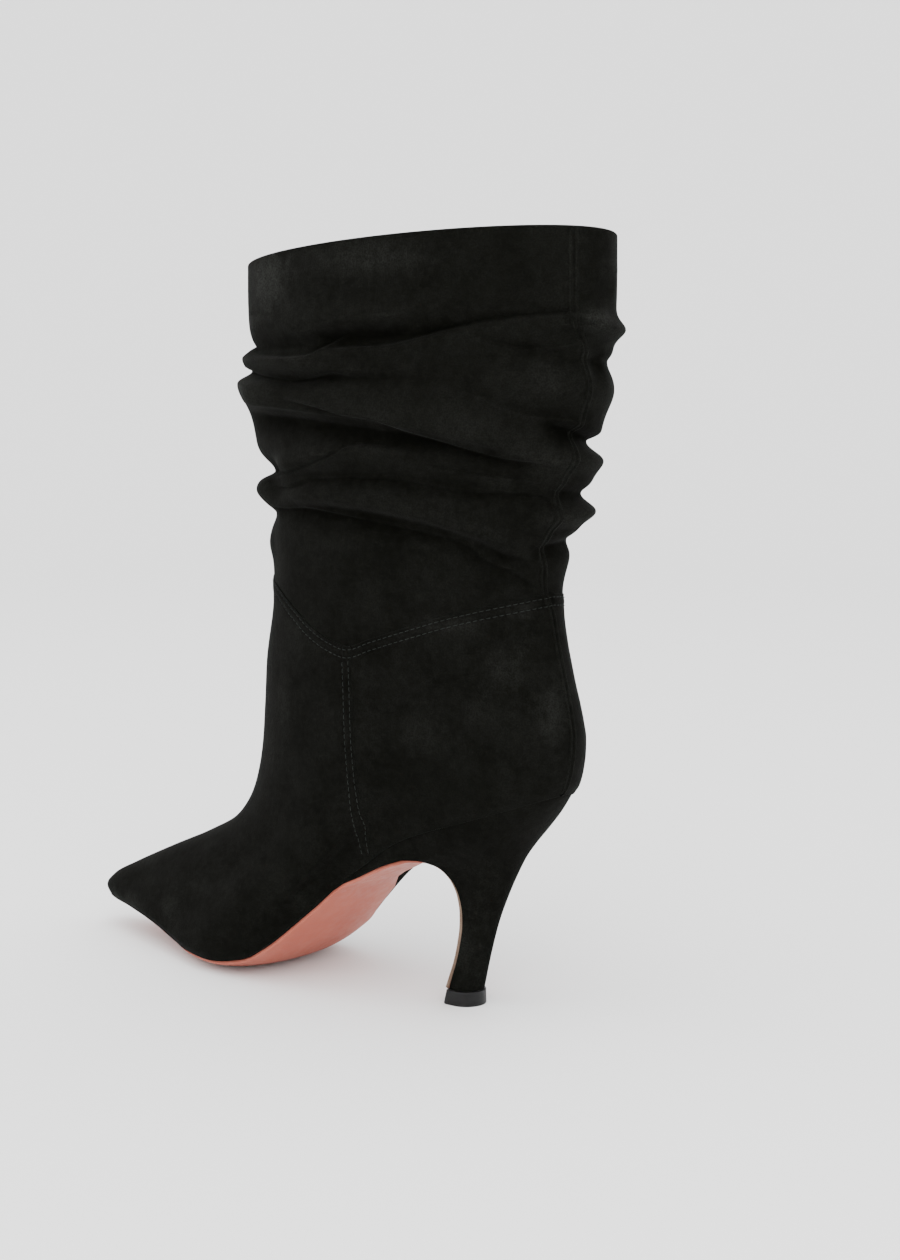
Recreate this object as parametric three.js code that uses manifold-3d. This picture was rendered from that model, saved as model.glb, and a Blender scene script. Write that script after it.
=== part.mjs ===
// Slouch boot for the left foot, with a pointed toe and a covered heel.
// Millimetres, +Z up, toe towards -Y, outer (lateral) side towards +X, standing on its sole.
// Inside this file "along" runs forward from the counter, "across" runs outward from the middle line.
import * as THREE from "three";
import Module from "manifold-3d";

// Driving sizes
const LENGTH = 250;
const BALL_WIDTH = 68;
const HEEL_HEIGHT = 86;
const INSTEP_HEIGHT = 126;
const ANKLE_HEIGHT = 160;
const BOOT_HEIGHT = 292;
const SHAFT_LENGTH = 161;
const SHAFT_WIDTH = 86;
const SHAFT_MIDDLE = 70;
const TOE_SPRING = 11.5;
const TOE_RADIUS = 4.5;
const SEAT_RADIUS = 22;
const WALL = 1.8;
const LASTING = 7;
const LASTING_END = 0.6;
const RIM_TILT = 3.6;
const FOLD_RISE = 4;
const FOLD_PITCH = 18;
const FINEST_FOLD = 0.14;
const FOLD_FADE = 0.34;
const FOLD_START = 0.05;
const SOLE_EDGE = 1.4;
const SOLE_CROWN = 4.8;
const TREAD_FLAT = 1.4;
const SOLE_INSET = 1.4;
const FLAP_THICKNESS = 1.4;
const FLAP_FROM = 7;
const SOLE_SPREAD = 0.8;
const SOLE_SPACE = 6;
const INSOLE_THICKNESS = 2.6;
const INSOLE_MARGIN = 2.5;
const INSOLE_END = 0.7;
const HEEL_INSET = 0.5;
const HEEL_CORNER = 2;
const TOP_PIECE_LENGTH = 12.4;
const TOP_PIECE_WIDTH = 15;
const TOP_PIECE_HEIGHT = 5.6;
const TOP_PIECE_FLARE = 0.9;
const STRIP_WIDTH = 3.4;
const STRIP_THICKNESS = 0.9;
const STRIP_GAP = 0.6;
const CLEARANCE = 0.3;
const TRIM = 1.2;

// Worked out from them
const TREAD_HEIGHT = SOLE_EDGE + SOLE_CROWN + CLEARANCE - TREAD_FLAT;
const TOE_LIFT = TOE_SPRING + SOLE_EDGE + CLEARANCE;
const SHAFT_HEIGHT = BOOT_HEIGHT - ANKLE_HEIGHT;

// How finely the solids are divided
const COLUMNS = 44;
const SHAFT_ROWS = 33;
const FOOT_ROWS = 15;
const FOOT_ROW_SPREAD = 1.25;
const SOLE_STATIONS = 18;
const SOLE_STATION_SPREAD = 1.2;
const SOLE_POINTS = 16;
const HEEL_POINTS = 28;
const INSOLE_STATIONS = 24;

// Feather line, where upper meets sole. from: share of the way from seat to toe tip.
// climb: share of the rise from tread to seat. spring: share of the rise from tread to toe.
// lateral, medial: half widths of the upper, as shares of the ball width.
const FEATHER = [
  { from: 0.0, climb: 1.0, spring: 0 },
  { from: 0.045, climb: 0.947, spring: 0, lateral: 0.3, medial: 0.3 },
  { from: 0.1, climb: 0.889, spring: 0, lateral: 0.36, medial: 0.36 },
  { from: 0.217, climb: 0.766, spring: 0, lateral: 0.357, medial: 0.341 },
  { from: 0.26, climb: 0.703, spring: 0, lateral: 0.352, medial: 0.315 },
  { from: 0.311, climb: 0.595, spring: 0, lateral: 0.35, medial: 0.294 },
  { from: 0.377, climb: 0.439, spring: 0, lateral: 0.375, medial: 0.31 },
  { from: 0.443, climb: 0.262, spring: 0, lateral: 0.432, medial: 0.36 },
  { from: 0.496, climb: 0.126, spring: 0, lateral: 0.485, medial: 0.425 },
  { from: 0.549, climb: 0.038, spring: 0, lateral: 0.505, medial: 0.468 },
  { from: 0.619, climb: 0.002, spring: 0, lateral: 0.505, medial: 0.492 },
  { from: 0.689, climb: 0, spring: 0.03, lateral: 0.442, medial: 0.5 },
  { from: 0.742, climb: 0, spring: 0.23, lateral: 0.373, medial: 0.456 },
  { from: 0.799, climb: 0, spring: 0.58, lateral: 0.315, medial: 0.382 },
  { from: 0.861, climb: 0, spring: 0.81, lateral: 0.248, medial: 0.294 },
  { from: 0.922, climb: 0, spring: 0.92, lateral: 0.175, medial: 0.203 },
  { from: 1.0, climb: 0, spring: 1.0 },
];

// Loops of the foot, from the feather line up to the ankle.
// up: place on the way from feather line to collar. back, front: shares of the length.
// backRise: share of the rise from seat to ankle. frontRise: share of the rise from toe to instep.
// width: share of the ball width. round: 0 follows the feather outline, 1 is an oval.
// sag: share of the feather line's dip that the loop still follows.
const FOOT = [
  { up: 0.0, back: 0.016, backRise: 0.0, front: 0.984, frontRise: 0.0,
    width: 1.0, round: 0.0, sag: 1.0 },
  { up: 0.02, back: 0.007, backRise: 0.05, front: 0.992, frontRise: 0.031,
    width: 1.05, round: 0.0, sag: 1.0 },
  { up: 0.05, back: 0.0, backRise: 0.13, front: 0.972, frontRise: 0.078,
    width: 1.06, round: 0.04, sag: 0.95 },
  { up: 0.09, back: -0.004, backRise: 0.216, front: 0.915, frontRise: 0.142,
    width: 1.05, round: 0.12, sag: 0.88 },
  { up: 0.13, back: -0.005, backRise: 0.297, front: 0.822, frontRise: 0.235,
    width: 1.03, round: 0.25, sag: 0.78 },
  { up: 0.17, back: -0.002, backRise: 0.378, front: 0.73, frontRise: 0.323,
    width: 1.0, round: 0.42, sag: 0.66 },
  { up: 0.21, back: 0.003, backRise: 0.46, front: 0.66, frontRise: 0.407,
    width: 0.99, round: 0.6, sag: 0.52 },
  { up: 0.25, back: 0.01, backRise: 0.554, front: 0.617, frontRise: 0.527,
    width: 0.99, round: 0.78, sag: 0.38 },
  { up: 0.29, back: 0.018, backRise: 0.662, front: 0.595, frontRise: 0.681,
    width: 1.0, round: 0.9, sag: 0.25 },
  { up: 0.33, back: 0.026, backRise: 0.77, front: 0.585, frontRise: 0.841,
    width: 1.02, round: 0.97, sag: 0.14 },
  { up: 0.37, back: 0.033, backRise: 0.892, front: 0.577, frontRise: 1.0,
    width: 1.045, round: 1.0, sag: 0.06 },
];

// Loops of the shaft, from the ankle to the collar.
// back, front: reach from the shaft's middle, as shares of its length. width: share of its width.
// backRise, frontRise: shares of the shaft's height above the ankle.
const SHAFT = [
  { up: 0.42, back: 0.379, backRise: 0.0, front: 0.434, frontRise: -0.076, width: 0.84 },
  { up: 0.49, back: 0.405, backRise: 0.121, front: 0.432, frontRise: 0.091, width: 0.885 },
  { up: 0.58, back: 0.448, backRise: 0.273, front: 0.452, frontRise: 0.258, width: 0.93 },
  { up: 0.66, back: 0.474, backRise: 0.409, front: 0.484, frontRise: 0.394, width: 0.965 },
  { up: 0.74, back: 0.495, backRise: 0.545, front: 0.501, frontRise: 0.538, width: 0.99 },
  { up: 0.82, back: 0.511, backRise: 0.682, front: 0.502, frontRise: 0.667, width: 1.0 },
  { up: 0.91, back: 0.521, backRise: 0.833, front: 0.506, frontRise: 0.782, width: 1.0 },
  { up: 1.0, back: 0.522, backRise: 0.992, front: 0.508, frontRise: 0.89, width: 0.98 },
];

// Slouch folds. from, to: degrees round the shaft from the centre back, by the lateral side.
// start, middle, end: heights of the line, as shares of the shaft's height above the ankle.
// rise: how far it stands out or sinks in, as a share of the fold rise.
// above, below: its half widths over and under the line, as shares of the fold pitch.
const FOLDS = [
  { name: "collar tuck", from: 20, to: 222, start: 0.785, middle: 0.672, end: 0.69,
    rise: -0.42, above: 0.3, below: 0.1 },
  { name: "front roll", from: 88, to: 235, start: 0.635, middle: 0.635, end: 0.65,
    rise: 0.7, above: 0.14, below: 0.2 },
  { name: "under roll", from: 62, to: 240, start: 0.592, middle: 0.592, end: 0.61,
    rise: -0.5, above: 0.1, below: 0.14 },
  { name: "pocket", from: 70, to: 104, start: 0.71, middle: 0.705, end: 0.7,
    rise: -0.5, above: 0.2, below: 0.12 },
  { name: "collar ridge", from: 52, to: 150, start: 0.81, middle: 0.742, end: 0.735,
    rise: 0.35, above: 0.3, below: 0.25 },
  { name: "front shoulder", from: 112, to: 245, start: 0.56, middle: 0.565, end: 0.55,
    rise: 1.3, above: 0.2, below: 0.5 },
  { name: "long ridge", from: 12, to: 152, start: 0.355, middle: 0.49, end: 0.515,
    rise: 0.55, above: 0.5, below: 0.12 },
  { name: "long valley", from: 18, to: 148, start: 0.33, middle: 0.445, end: 0.47,
    rise: -0.75, above: 0.12, below: 0.3 },
  { name: "waist ridge", from: 8, to: 140, start: 0.3, middle: 0.395, end: 0.295,
    rise: 0.5, above: 0.22, below: 0.22 },
  { name: "waist valley", from: 36, to: 146, start: 0.28, middle: 0.325, end: 0.262,
    rise: -0.45, above: 0.12, below: 0.22 },
  { name: "front notch", from: 118, to: 245, start: 0.33, middle: 0.3, end: 0.33,
    rise: -1.25, above: 0.3, below: 0.12 },
  { name: "front bulge", from: 128, to: 240, start: 0.24, middle: 0.26, end: 0.255,
    rise: 1.0, above: 0.25, below: 0.25 },
  { name: "lower notch", from: 130, to: 232, start: 0.19, middle: 0.185, end: 0.2,
    rise: -0.6, above: 0.14, below: 0.25 },
  { name: "ankle ridge", from: 14, to: 130, start: 0.075, middle: 0.245, end: 0.25,
    rise: 0.45, above: 0.36, below: 0.2 },
  { name: "ankle valley", from: 6, to: 134, start: 0.03, middle: 0.2, end: 0.2,
    rise: -0.5, above: 0.14, below: 0.4 },
  { name: "front ankle", from: 140, to: 222, start: 0.09, middle: 0.1, end: 0.09,
    rise: 0.35, above: 0.3, below: 0.3 },
  { name: "back knuckle", from: -40, to: 22, start: 0.72, middle: 0.725, end: 0.75,
    rise: 1.0, above: 0.22, below: 0.2 },
  { name: "under knuckle", from: -60, to: 50, start: 0.64, middle: 0.64, end: 0.69,
    rise: -0.45, above: 0.12, below: 0.25 },
  { name: "back panel", from: -62, to: 55, start: 0.53, middle: 0.56, end: 0.6,
    rise: 0.6, above: 0.4, below: 0.4 },
  { name: "back crease", from: -70, to: 30, start: 0.41, middle: 0.42, end: 0.485,
    rise: -1.25, above: 0.1, below: 0.26 },
  { name: "back bulge", from: -66, to: 34, start: 0.37, middle: 0.365, end: 0.38,
    rise: 0.8, above: 0.22, below: 0.25 },
  { name: "back nick", from: -70, to: 24, start: 0.28, middle: 0.275, end: 0.29,
    rise: -0.8, above: 0.14, below: 0.2 },
  { name: "heel bulge", from: -60, to: 26, start: 0.22, middle: 0.22, end: 0.21,
    rise: 1.1, above: 0.2, below: 0.2 },
  { name: "heel nick", from: -66, to: 24, start: 0.14, middle: 0.145, end: 0.12,
    rise: -0.85, above: 0.14, below: 0.25 },
  { name: "medial shelf", from: 205, to: 335, start: 0.64, middle: 0.67, end: 0.7,
    rise: 0.6, above: 0.22, below: 0.25 },
  { name: "medial tuck", from: 200, to: 340, start: 0.71, middle: 0.735, end: 0.78,
    rise: -0.5, above: 0.3, below: 0.12 },
  { name: "medial seam", from: 210, to: 330, start: 0.58, middle: 0.59, end: 0.62,
    rise: -0.6, above: 0.14, below: 0.25 },
  { name: "medial long", from: 205, to: 325, start: 0.5, middle: 0.53, end: 0.5,
    rise: 0.55, above: 0.35, below: 0.2 },
  { name: "medial deep", from: 210, to: 330, start: 0.45, middle: 0.465, end: 0.42,
    rise: -0.75, above: 0.14, below: 0.3 },
  { name: "medial waist", from: 205, to: 325, start: 0.36, middle: 0.375, end: 0.35,
    rise: 0.5, above: 0.25, below: 0.25 },
  { name: "medial nick", from: 210, to: 322, start: 0.3, middle: 0.3, end: 0.28,
    rise: -0.55, above: 0.14, below: 0.3 },
  { name: "medial ankle", from: 205, to: 320, start: 0.19, middle: 0.21, end: 0.17,
    rise: 0.45, above: 0.3, below: 0.25 },
  { name: "medial low", from: 205, to: 330, start: 0.14, middle: 0.13, end: 0.08,
    rise: -0.45, above: 0.2, below: 0.4 },
];

// Centre-back seam. turned: degrees that the slack shaft has turned it towards the outer side.
// width: share of the strip's width.
const SEAM = [
  { up: 0.0, turned: 0, width: 1.2 },
  { up: 0.36, turned: 0, width: 1.15 },
  { up: 0.42, turned: 5, width: 1.05 },
  { up: 0.52, turned: 12, width: 1 },
  { up: 0.6, turned: 11, width: 1 },
  { up: 0.7, turned: 6, width: 1 },
  { up: 0.8, turned: 8, width: 1 },
  { up: 0.86, turned: 17, width: 1 },
  { up: 1.0, turned: 18, width: 1 },
];

// Sole. at: share of the length. edge, crown: shares of the sole's edge and crown.
// lateral, medial: how much narrower than the feather outline, as shares of the sole's inset.
const SOLE = [
  { at: 0.4, edge: 0.85, crown: 0.25, lateral: 1.0, medial: 2.6 },
  { at: 0.44, edge: 0.85, crown: 0.42, lateral: 1.0, medial: 2.3 },
  { at: 0.49, edge: 0.9, crown: 0.64, lateral: 1.0, medial: 1.5 },
  { at: 0.55, edge: 0.95, crown: 0.85, lateral: 1.0, medial: 1.3 },
  { at: 0.62, edge: 1.0, crown: 1.0, lateral: 1.0, medial: 1.1 },
  { at: 0.7, edge: 1.0, crown: 0.95, lateral: 1.0, medial: 1.0 },
  { at: 0.8, edge: 0.95, crown: 0.4, lateral: 1.6, medial: 1.2 },
  { at: 0.9, edge: 0.85, crown: 0.16, lateral: 1.8, medial: 1.5 },
  { at: 1.0, edge: 0.8, crown: 0.1, lateral: 1.6, medial: 1.4 },
];

// Underside of the waist wedge and front of the heel, which the sole lies against.
// at: share of the length. height: share of the rise from top piece to seat.
// lateral, medial: half widths of the sole there, as shares of the ball width.
const BREAST = [
  { at: 0.38, height: 0.436, lateral: 0.36, medial: 0.19 },
  { at: 0.36, height: 0.478, lateral: 0.352, medial: 0.188 },
  { at: 0.332, height: 0.522, lateral: 0.335, medial: 0.19 },
  { at: 0.3, height: 0.576, lateral: 0.315, medial: 0.195 },
  { at: 0.272, height: 0.613, lateral: 0.29, medial: 0.2 },
  { at: 0.248, height: 0.635, lateral: 0.258, medial: 0.2 },
  { at: 0.228, height: 0.638, lateral: 0.225, medial: 0.19 },
  { at: 0.21, height: 0.62, lateral: 0.19, medial: 0.175 },
  { at: 0.196, height: 0.583, lateral: 0.162, medial: 0.158 },
  { at: 0.186, height: 0.532, lateral: 0.14, medial: 0.14 },
  { at: 0.181, height: 0.469, lateral: 0.12, medial: 0.12 },
  { at: 0.179, height: 0.4, lateral: 0.108, medial: 0.108 },
  { at: 0.181, height: 0.313, lateral: 0.098, medial: 0.098 },
  { at: 0.186, height: 0.232, lateral: 0.093, medial: 0.093 },
  { at: 0.193, height: 0.145, lateral: 0.091, medial: 0.091 },
  { at: 0.203, height: 0.051, lateral: 0.095, medial: 0.095 },
  { at: 0.2085, height: 0.0, lateral: 0.098, medial: 0.098 },
];

// Heel block, from the seat down. back, front: shares of the length.
// backHeight, frontHeight: shares of the rise from top piece to seat. sag: share of the seat's dip.
// backWidth, frontWidth: half widths, as shares of the ball width.
const HEEL = [
  { back: 0.018, backHeight: 1.0, front: 0.388, frontHeight: 0.44,
    backWidth: 0.36, frontWidth: 0.4, sag: 1.0 },
  { back: 0.034, backHeight: 0.916, front: 0.36, frontHeight: 0.455,
    backWidth: 0.327, frontWidth: 0.36, sag: 0.85 },
  { back: 0.055, backHeight: 0.826, front: 0.31, frontHeight: 0.53,
    backWidth: 0.287, frontWidth: 0.325, sag: 0.6 },
  { back: 0.076, backHeight: 0.742, front: 0.264, frontHeight: 0.59,
    backWidth: 0.245, frontWidth: 0.282, sag: 0.3 },
  { back: 0.0915, backHeight: 0.67, front: 0.23, frontHeight: 0.6,
    backWidth: 0.205, frontWidth: 0.235, sag: 0.1 },
  { back: 0.107, backHeight: 0.572, front: 0.2, frontHeight: 0.55,
    backWidth: 0.163, frontWidth: 0.17, sag: 0 },
  { back: 0.122, backHeight: 0.464, front: 0.186, frontHeight: 0.455,
    backWidth: 0.128, frontWidth: 0.123, sag: 0 },
  { back: 0.138, backHeight: 0.33, front: 0.186, frontHeight: 0.33,
    backWidth: 0.103, frontWidth: 0.1, sag: 0 },
  { back: 0.153, backHeight: 0.165, front: 0.198, frontHeight: 0.165,
    backWidth: 0.094, frontWidth: 0.092, sag: 0 },
  { back: 0.166, backHeight: 0.0, front: 0.212, frontHeight: 0.0,
    backWidth: 0.098, frontWidth: 0.098, sag: 0 },
];

// Colours
const SUEDE = { color: 0x151614, roughness: 0.95, metalness: 0 };
const CORAL_LEATHER = { color: 0xb8705f, roughness: 0.5, metalness: 0 };
const LINING = { color: 0x1b1a19, roughness: 0.7, metalness: 0 };
const BLACK_PLASTIC = { color: 0x161616, roughness: 0.35, metalness: 0 };

const boot = new THREE.Group();
const wasm = await Module();
wasm.setup();

// Small helpers
const clamp = (value, low, high) => Math.min(Math.max(value, low), high);
const mix = (a, b, share) => a + (b - a) * share;
const smooth = (x) => x * x * (3 - 2 * x);
const range = (count) => [...Array(count).keys()];
const point = (along, across, height) => new THREE.Vector3(across, -along, height);

// A smooth curve through rows of a table that never swings past a row.
function curve(rows, at, value) {
  const slopes = rows.slice(1).map((row, i) => (value(row) - value(rows[i])) / (at(row) - at(rows[i])));
  const tangent = (i) => {
    const before = slopes[Math.max(i - 1, 0)];
    const after = slopes[Math.min(i, slopes.length - 1)];
    return before * after > 0 ? (2 * before * after) / (before + after) : 0;
  };
  return (x) => {
    const held = clamp(x, at(rows[0]), at(rows.at(-1)));
    const i = clamp(rows.findIndex((row) => at(row) >= held) - 1, 0, rows.length - 2);
    const span = at(rows[i + 1]) - at(rows[i]);
    const t = (held - at(rows[i])) / span;
    const ease = smooth(t);
    return mix(value(rows[i]), value(rows[i + 1]), ease)
      + span * (tangent(i) * t * (1 - t) ** 2 - tangent(i + 1) * t * t * (1 - t));
  };
}

// Feather line and its outline
const seat = FOOT[0].back * LENGTH;
const toe = FOOT[0].front * LENGTH;
const share = (along) => clamp((along - seat) / (toe - seat), 0, 1);
const climb = curve(FEATHER, (row) => row.from, (row) => row.climb);
const spring = curve(FEATHER, (row) => row.from, (row) => row.spring);
const featherAt = (from) => TREAD_HEIGHT
  + climb(from) * (HEEL_HEIGHT - TREAD_HEIGHT)
  + spring(from) * (TOE_LIFT - TREAD_HEIGHT);
const stations = range(COLUMNS / 2 + 1).map((c) => (1 - Math.cos((2 * Math.PI * c) / COLUMNS)) / 2);
function featherHeight(along) {
  const from = share(along);
  const i = clamp(stations.findIndex((station) => station >= from) - 1, 0, stations.length - 2);
  const [low, high] = [stations[i], stations[i + 1]];
  return mix(featherAt(low), featherAt(high), (from - low) / (high - low));
}
const dip = (from) => featherAt(from) - mix(HEEL_HEIGHT, TOE_LIFT, from);
const turnOf = (from) => Math.acos(1 - 2 * from);
const endFullness = (radius) => Math.sqrt((radius * (toe - seat)) / 2) / BALL_WIDTH;

// Fullness of one side of the outline, against the turn from back (0) to front (pi).
function sideFullness(side) {
  const rows = FEATHER.slice(1, -1).map((row) => ({
    turn: turnOf(row.from),
    full: row[side] / Math.sin(turnOf(row.from)),
  }));
  const heel = { turn: 0, full: endFullness(SEAT_RADIUS) };
  const tip = { turn: Math.PI, full: endFullness(TOE_RADIUS) };
  return curve([heel, ...rows, tip], (row) => row.turn, (row) => row.full);
}
const fullness = { lateral: sideFullness("lateral"), medial: sideFullness("medial") };
const sideOf = (turn) => (turn <= Math.PI ? "lateral" : "medial");
const halfTurn = (turn) => (turn <= Math.PI ? turn : 2 * Math.PI - turn);
const featherWidth = (along, side) => {
  const turn = turnOf(share(along));
  return BALL_WIDTH * fullness[side](turn) * Math.sin(turn);
};

// Loops of the upper, from both tables, in millimetres
const loops = [
  ...FOOT.map((row) => ({
    up: row.up,
    back: row.back * LENGTH,
    backHeight: mix(HEEL_HEIGHT, ANKLE_HEIGHT, row.backRise),
    front: row.front * LENGTH,
    frontHeight: mix(TOE_LIFT, INSTEP_HEIGHT, row.frontRise),
    width: row.width * BALL_WIDTH,
    round: row.round,
    sag: row.sag,
  })),
  ...SHAFT.map((row) => ({
    up: row.up,
    back: SHAFT_MIDDLE - row.back * SHAFT_LENGTH,
    backHeight: ANKLE_HEIGHT + row.backRise * SHAFT_HEIGHT,
    front: SHAFT_MIDDLE + row.front * SHAFT_LENGTH,
    frontHeight: ANKLE_HEIGHT + row.frontRise * SHAFT_HEIGHT,
    width: row.width * SHAFT_WIDTH,
    round: 1,
    sag: 0,
  })),
];
const ankle = SHAFT[0].up;
const loopCurve = (key) => curve(loops, (row) => row.up, (row) => row[key]);
const loop = Object.fromEntries(Object.keys(loops[0]).slice(1).map((key) => [key, loopCurve(key)]));

// How far a fold line lifts the wall at a turn and height
function foldLift(turn, height) {
  const level = (height - ANKLE_HEIGHT) / SHAFT_HEIGHT;
  const degrees = THREE.MathUtils.radToDeg(turn);
  let lift = 0;
  for (const fold of FOLDS) {
    const reach = (fold.to - fold.from) / 2;
    const away = THREE.MathUtils.euclideanModulo(degrees - (fold.from + fold.to) / 2 + 180, 360) - 180;
    const x = away / reach;
    if (Math.abs(x) >= 1) continue;
    const line = fold.middle + ((fold.end - fold.start) / 2) * x
      + ((fold.start + fold.end) / 2 - fold.middle) * x * x;
    const over = ((level - line) * SHAFT_HEIGHT) / FOLD_PITCH;
    const width = Math.max(over > 0 ? fold.above : fold.below, FINEST_FOLD);
    const fade = smooth(clamp((1 - Math.abs(x)) / FOLD_FADE, 0, 1));
    lift += fold.rise * FOLD_RISE * fade * Math.exp(-((over / width) ** 2));
  }
  return lift;
}

// A point on the outside of the upper. up: 0 feather line to 1 collar. turn: 0 back, pi front.
function upperPoint(up, turn, proud = 0) {
  const half = halfTurn(turn);
  const from = (1 - Math.cos(half)) / 2;
  const side = sideOf(turn);
  const full = mix(fullness[side](half), 0.5, loop.round(up));
  const back = loop.back(up);
  const front = loop.front(up);
  const height = mix(loop.backHeight(up), loop.frontHeight(up), from) + loop.sag(up) * dip(from);
  const across = loop.width(up) * full * Math.sin(half) * (side === "lateral" ? 1 : -1);
  const tilt = RIM_TILT * smooth(clamp((up - ankle) / (1 - ankle), 0, 1)) * Math.sin(turn);
  const outward = new THREE.Vector2(-Math.cos(half) / (front - back), 0);
  outward.y = Math.sin(turn) / loop.width(up);
  outward.normalize();
  const started = smooth(clamp((up - FOOT.at(-1).up) / FOLD_START, 0, 1));
  const lift = foldLift(turn, height) * started + proud;
  return point(mix(back, front, from) + outward.x * lift, across + outward.y * lift, height + tilt);
}

// Meshes from loops of points
function loft(rings, closed) {
  const count = rings[0].length;
  const vertices = rings.flat().flatMap((p) => [p.x, p.y, p.z]);
  const faces = [];
  const steps = closed ? rings.length : rings.length - 1;
  for (const r of range(steps)) {
    for (const c of range(count)) {
      const a = r * count + c;
      const b = r * count + ((c + 1) % count);
      const next = (((r + 1) % rings.length) - r) * count;
      faces.push(a, b, b + next, a, b + next, a + next);
    }
  }
  if (!closed) {
    for (const [start, turned] of [[0, true], [(rings.length - 1) * count, false]]) {
      for (const c of range(count / 2)) {
        const [a, b] = [start + c, start + c + 1];
        const [d, e] = [start + ((count - c) % count), start + count - c - 1];
        const pair = c === 0 ? [[a, b, e]] : c === count / 2 - 1 ? [[a, b, d]] : [[a, b, e], [a, e, d]];
        for (const [i, j, k] of pair) faces.push(...(turned ? [i, k, j] : [i, j, k]));
      }
    }
  }
  const geometry = new THREE.BufferGeometry();
  geometry.setAttribute("position", new THREE.Float32BufferAttribute(vertices, 3));
  geometry.setIndex(faces);
  return facingOut(geometry);
}

function facingOut(geometry) {
  const at = geometry.getAttribute("position");
  const index = geometry.getIndex();
  const [a, b, c] = [new THREE.Vector3(), new THREE.Vector3(), new THREE.Vector3()];
  let volume = 0;
  for (let i = 0; i < index.count; i += 3) {
    [a, b, c].forEach((corner, k) => corner.fromBufferAttribute(at, index.getX(i + k)));
    volume += a.dot(b.cross(c)) / 6;
  }
  if (volume < 0) {
    for (let i = 0; i < index.count; i += 3) {
      const second = index.getX(i + 1);
      index.setX(i + 1, index.getX(i + 2));
      index.setX(i + 2, second);
    }
  }
  return geometry;
}

function solid(geometry) {
  const vertProperties = new Float32Array(geometry.getAttribute("position").array);
  const triVerts = new Uint32Array(geometry.getIndex().array);
  return new wasm.Manifold(new wasm.Mesh({ numProp: 3, vertProperties, triVerts }));
}

function geometryOf(manifold) {
  const mesh = manifold.getMesh();
  const geometry = new THREE.BufferGeometry();
  geometry.setAttribute("position", new THREE.BufferAttribute(mesh.vertProperties, 3));
  geometry.setIndex(new THREE.BufferAttribute(mesh.triVerts, 1));
  return geometry;
}

function addPart(name, geometry, finish) {
  geometry.computeVertexNormals();
  const mesh = new THREE.Mesh(geometry, new THREE.MeshStandardMaterial(finish));
  mesh.name = name;
  boot.add(mesh);
}

// Rows up the upper: wider on the foot, closer on the folded shaft
const rowsUp = [
  ...range(FOOT_ROWS).map((i) => ankle * (i / FOOT_ROWS) ** FOOT_ROW_SPREAD),
  ...range(SHAFT_ROWS + 1).map((i) => mix(ankle, 1, i / SHAFT_ROWS)),
];
const turns = range(COLUMNS).map((c) => (2 * Math.PI * c) / COLUMNS);

// Slab that follows the feather line, to trim what lies against the upper's turned-in margin
function featherSlab(low, high) {
  const places = [seat - SHAFT_WIDTH, ...stations.map((from) => mix(seat, toe, from)), toe + SHAFT_WIDTH];
  const rings = places.map((along) => {
    const height = featherHeight(along);
    return [
      point(along, SHAFT_WIDTH, height + low),
      point(along, -SHAFT_WIDTH, height + low),
      point(along, -SHAFT_WIDTH, height + high),
      point(along, SHAFT_WIDTH, height + high),
    ];
  });
  return solid(loft(rings, false));
}
function largest(manifold) {
  return manifold.decompose().sort((a, b) => b.volume() - a.volume())[0];
}
const aboveFeather = featherSlab(-CLEARANCE, SHAFT_WIDTH);
const belowInsole = featherSlab(-SHAFT_WIDTH, WALL + CLEARANCE);

// Upper: one wall, open at the collar and underneath, its lasting margin turned in over sole and heel
function insideOf(rings) {
  const count = rings[0].length;
  return rings.map((ring, r) => ring.map((p, c) => {
    const up = rings[Math.min(r + 1, rings.length - 1)][c].clone().sub(rings[Math.max(r - 1, 0)][c]);
    const round = ring[(c + 1) % count].clone().sub(ring[(c + count - 1) % count]);
    return p.clone().addScaledVector(round.cross(up).normalize(), WALL);
  }));
}
const lastingEdge = turns.map((turn) => {
  const from = (1 - Math.cos(turn)) / 2;
  const along = clamp(mix(seat, toe, from), seat + LASTING, toe - TOE_RADIUS - LASTING);
  const width = featherWidth(mix(seat, toe, from), sideOf(turn));
  const across = Math.max(width - LASTING, width * LASTING_END);
  return point(along, turn <= Math.PI ? across : -across, featherHeight(along));
});
const outside = [lastingEdge, ...rowsUp.map((up) => turns.map((turn) => upperPoint(up, turn)))];
const inside = insideOf(outside);
const lift = new THREE.Vector3(0, 0, WALL);
inside[0] = lastingEdge.map((p) => p.clone().add(lift));
inside[1] = turns.map((turn) => upperPoint(0, turn, -WALL).add(lift));
addPart("upper", loft([...outside, ...inside.reverse()], true), SUEDE);

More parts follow.
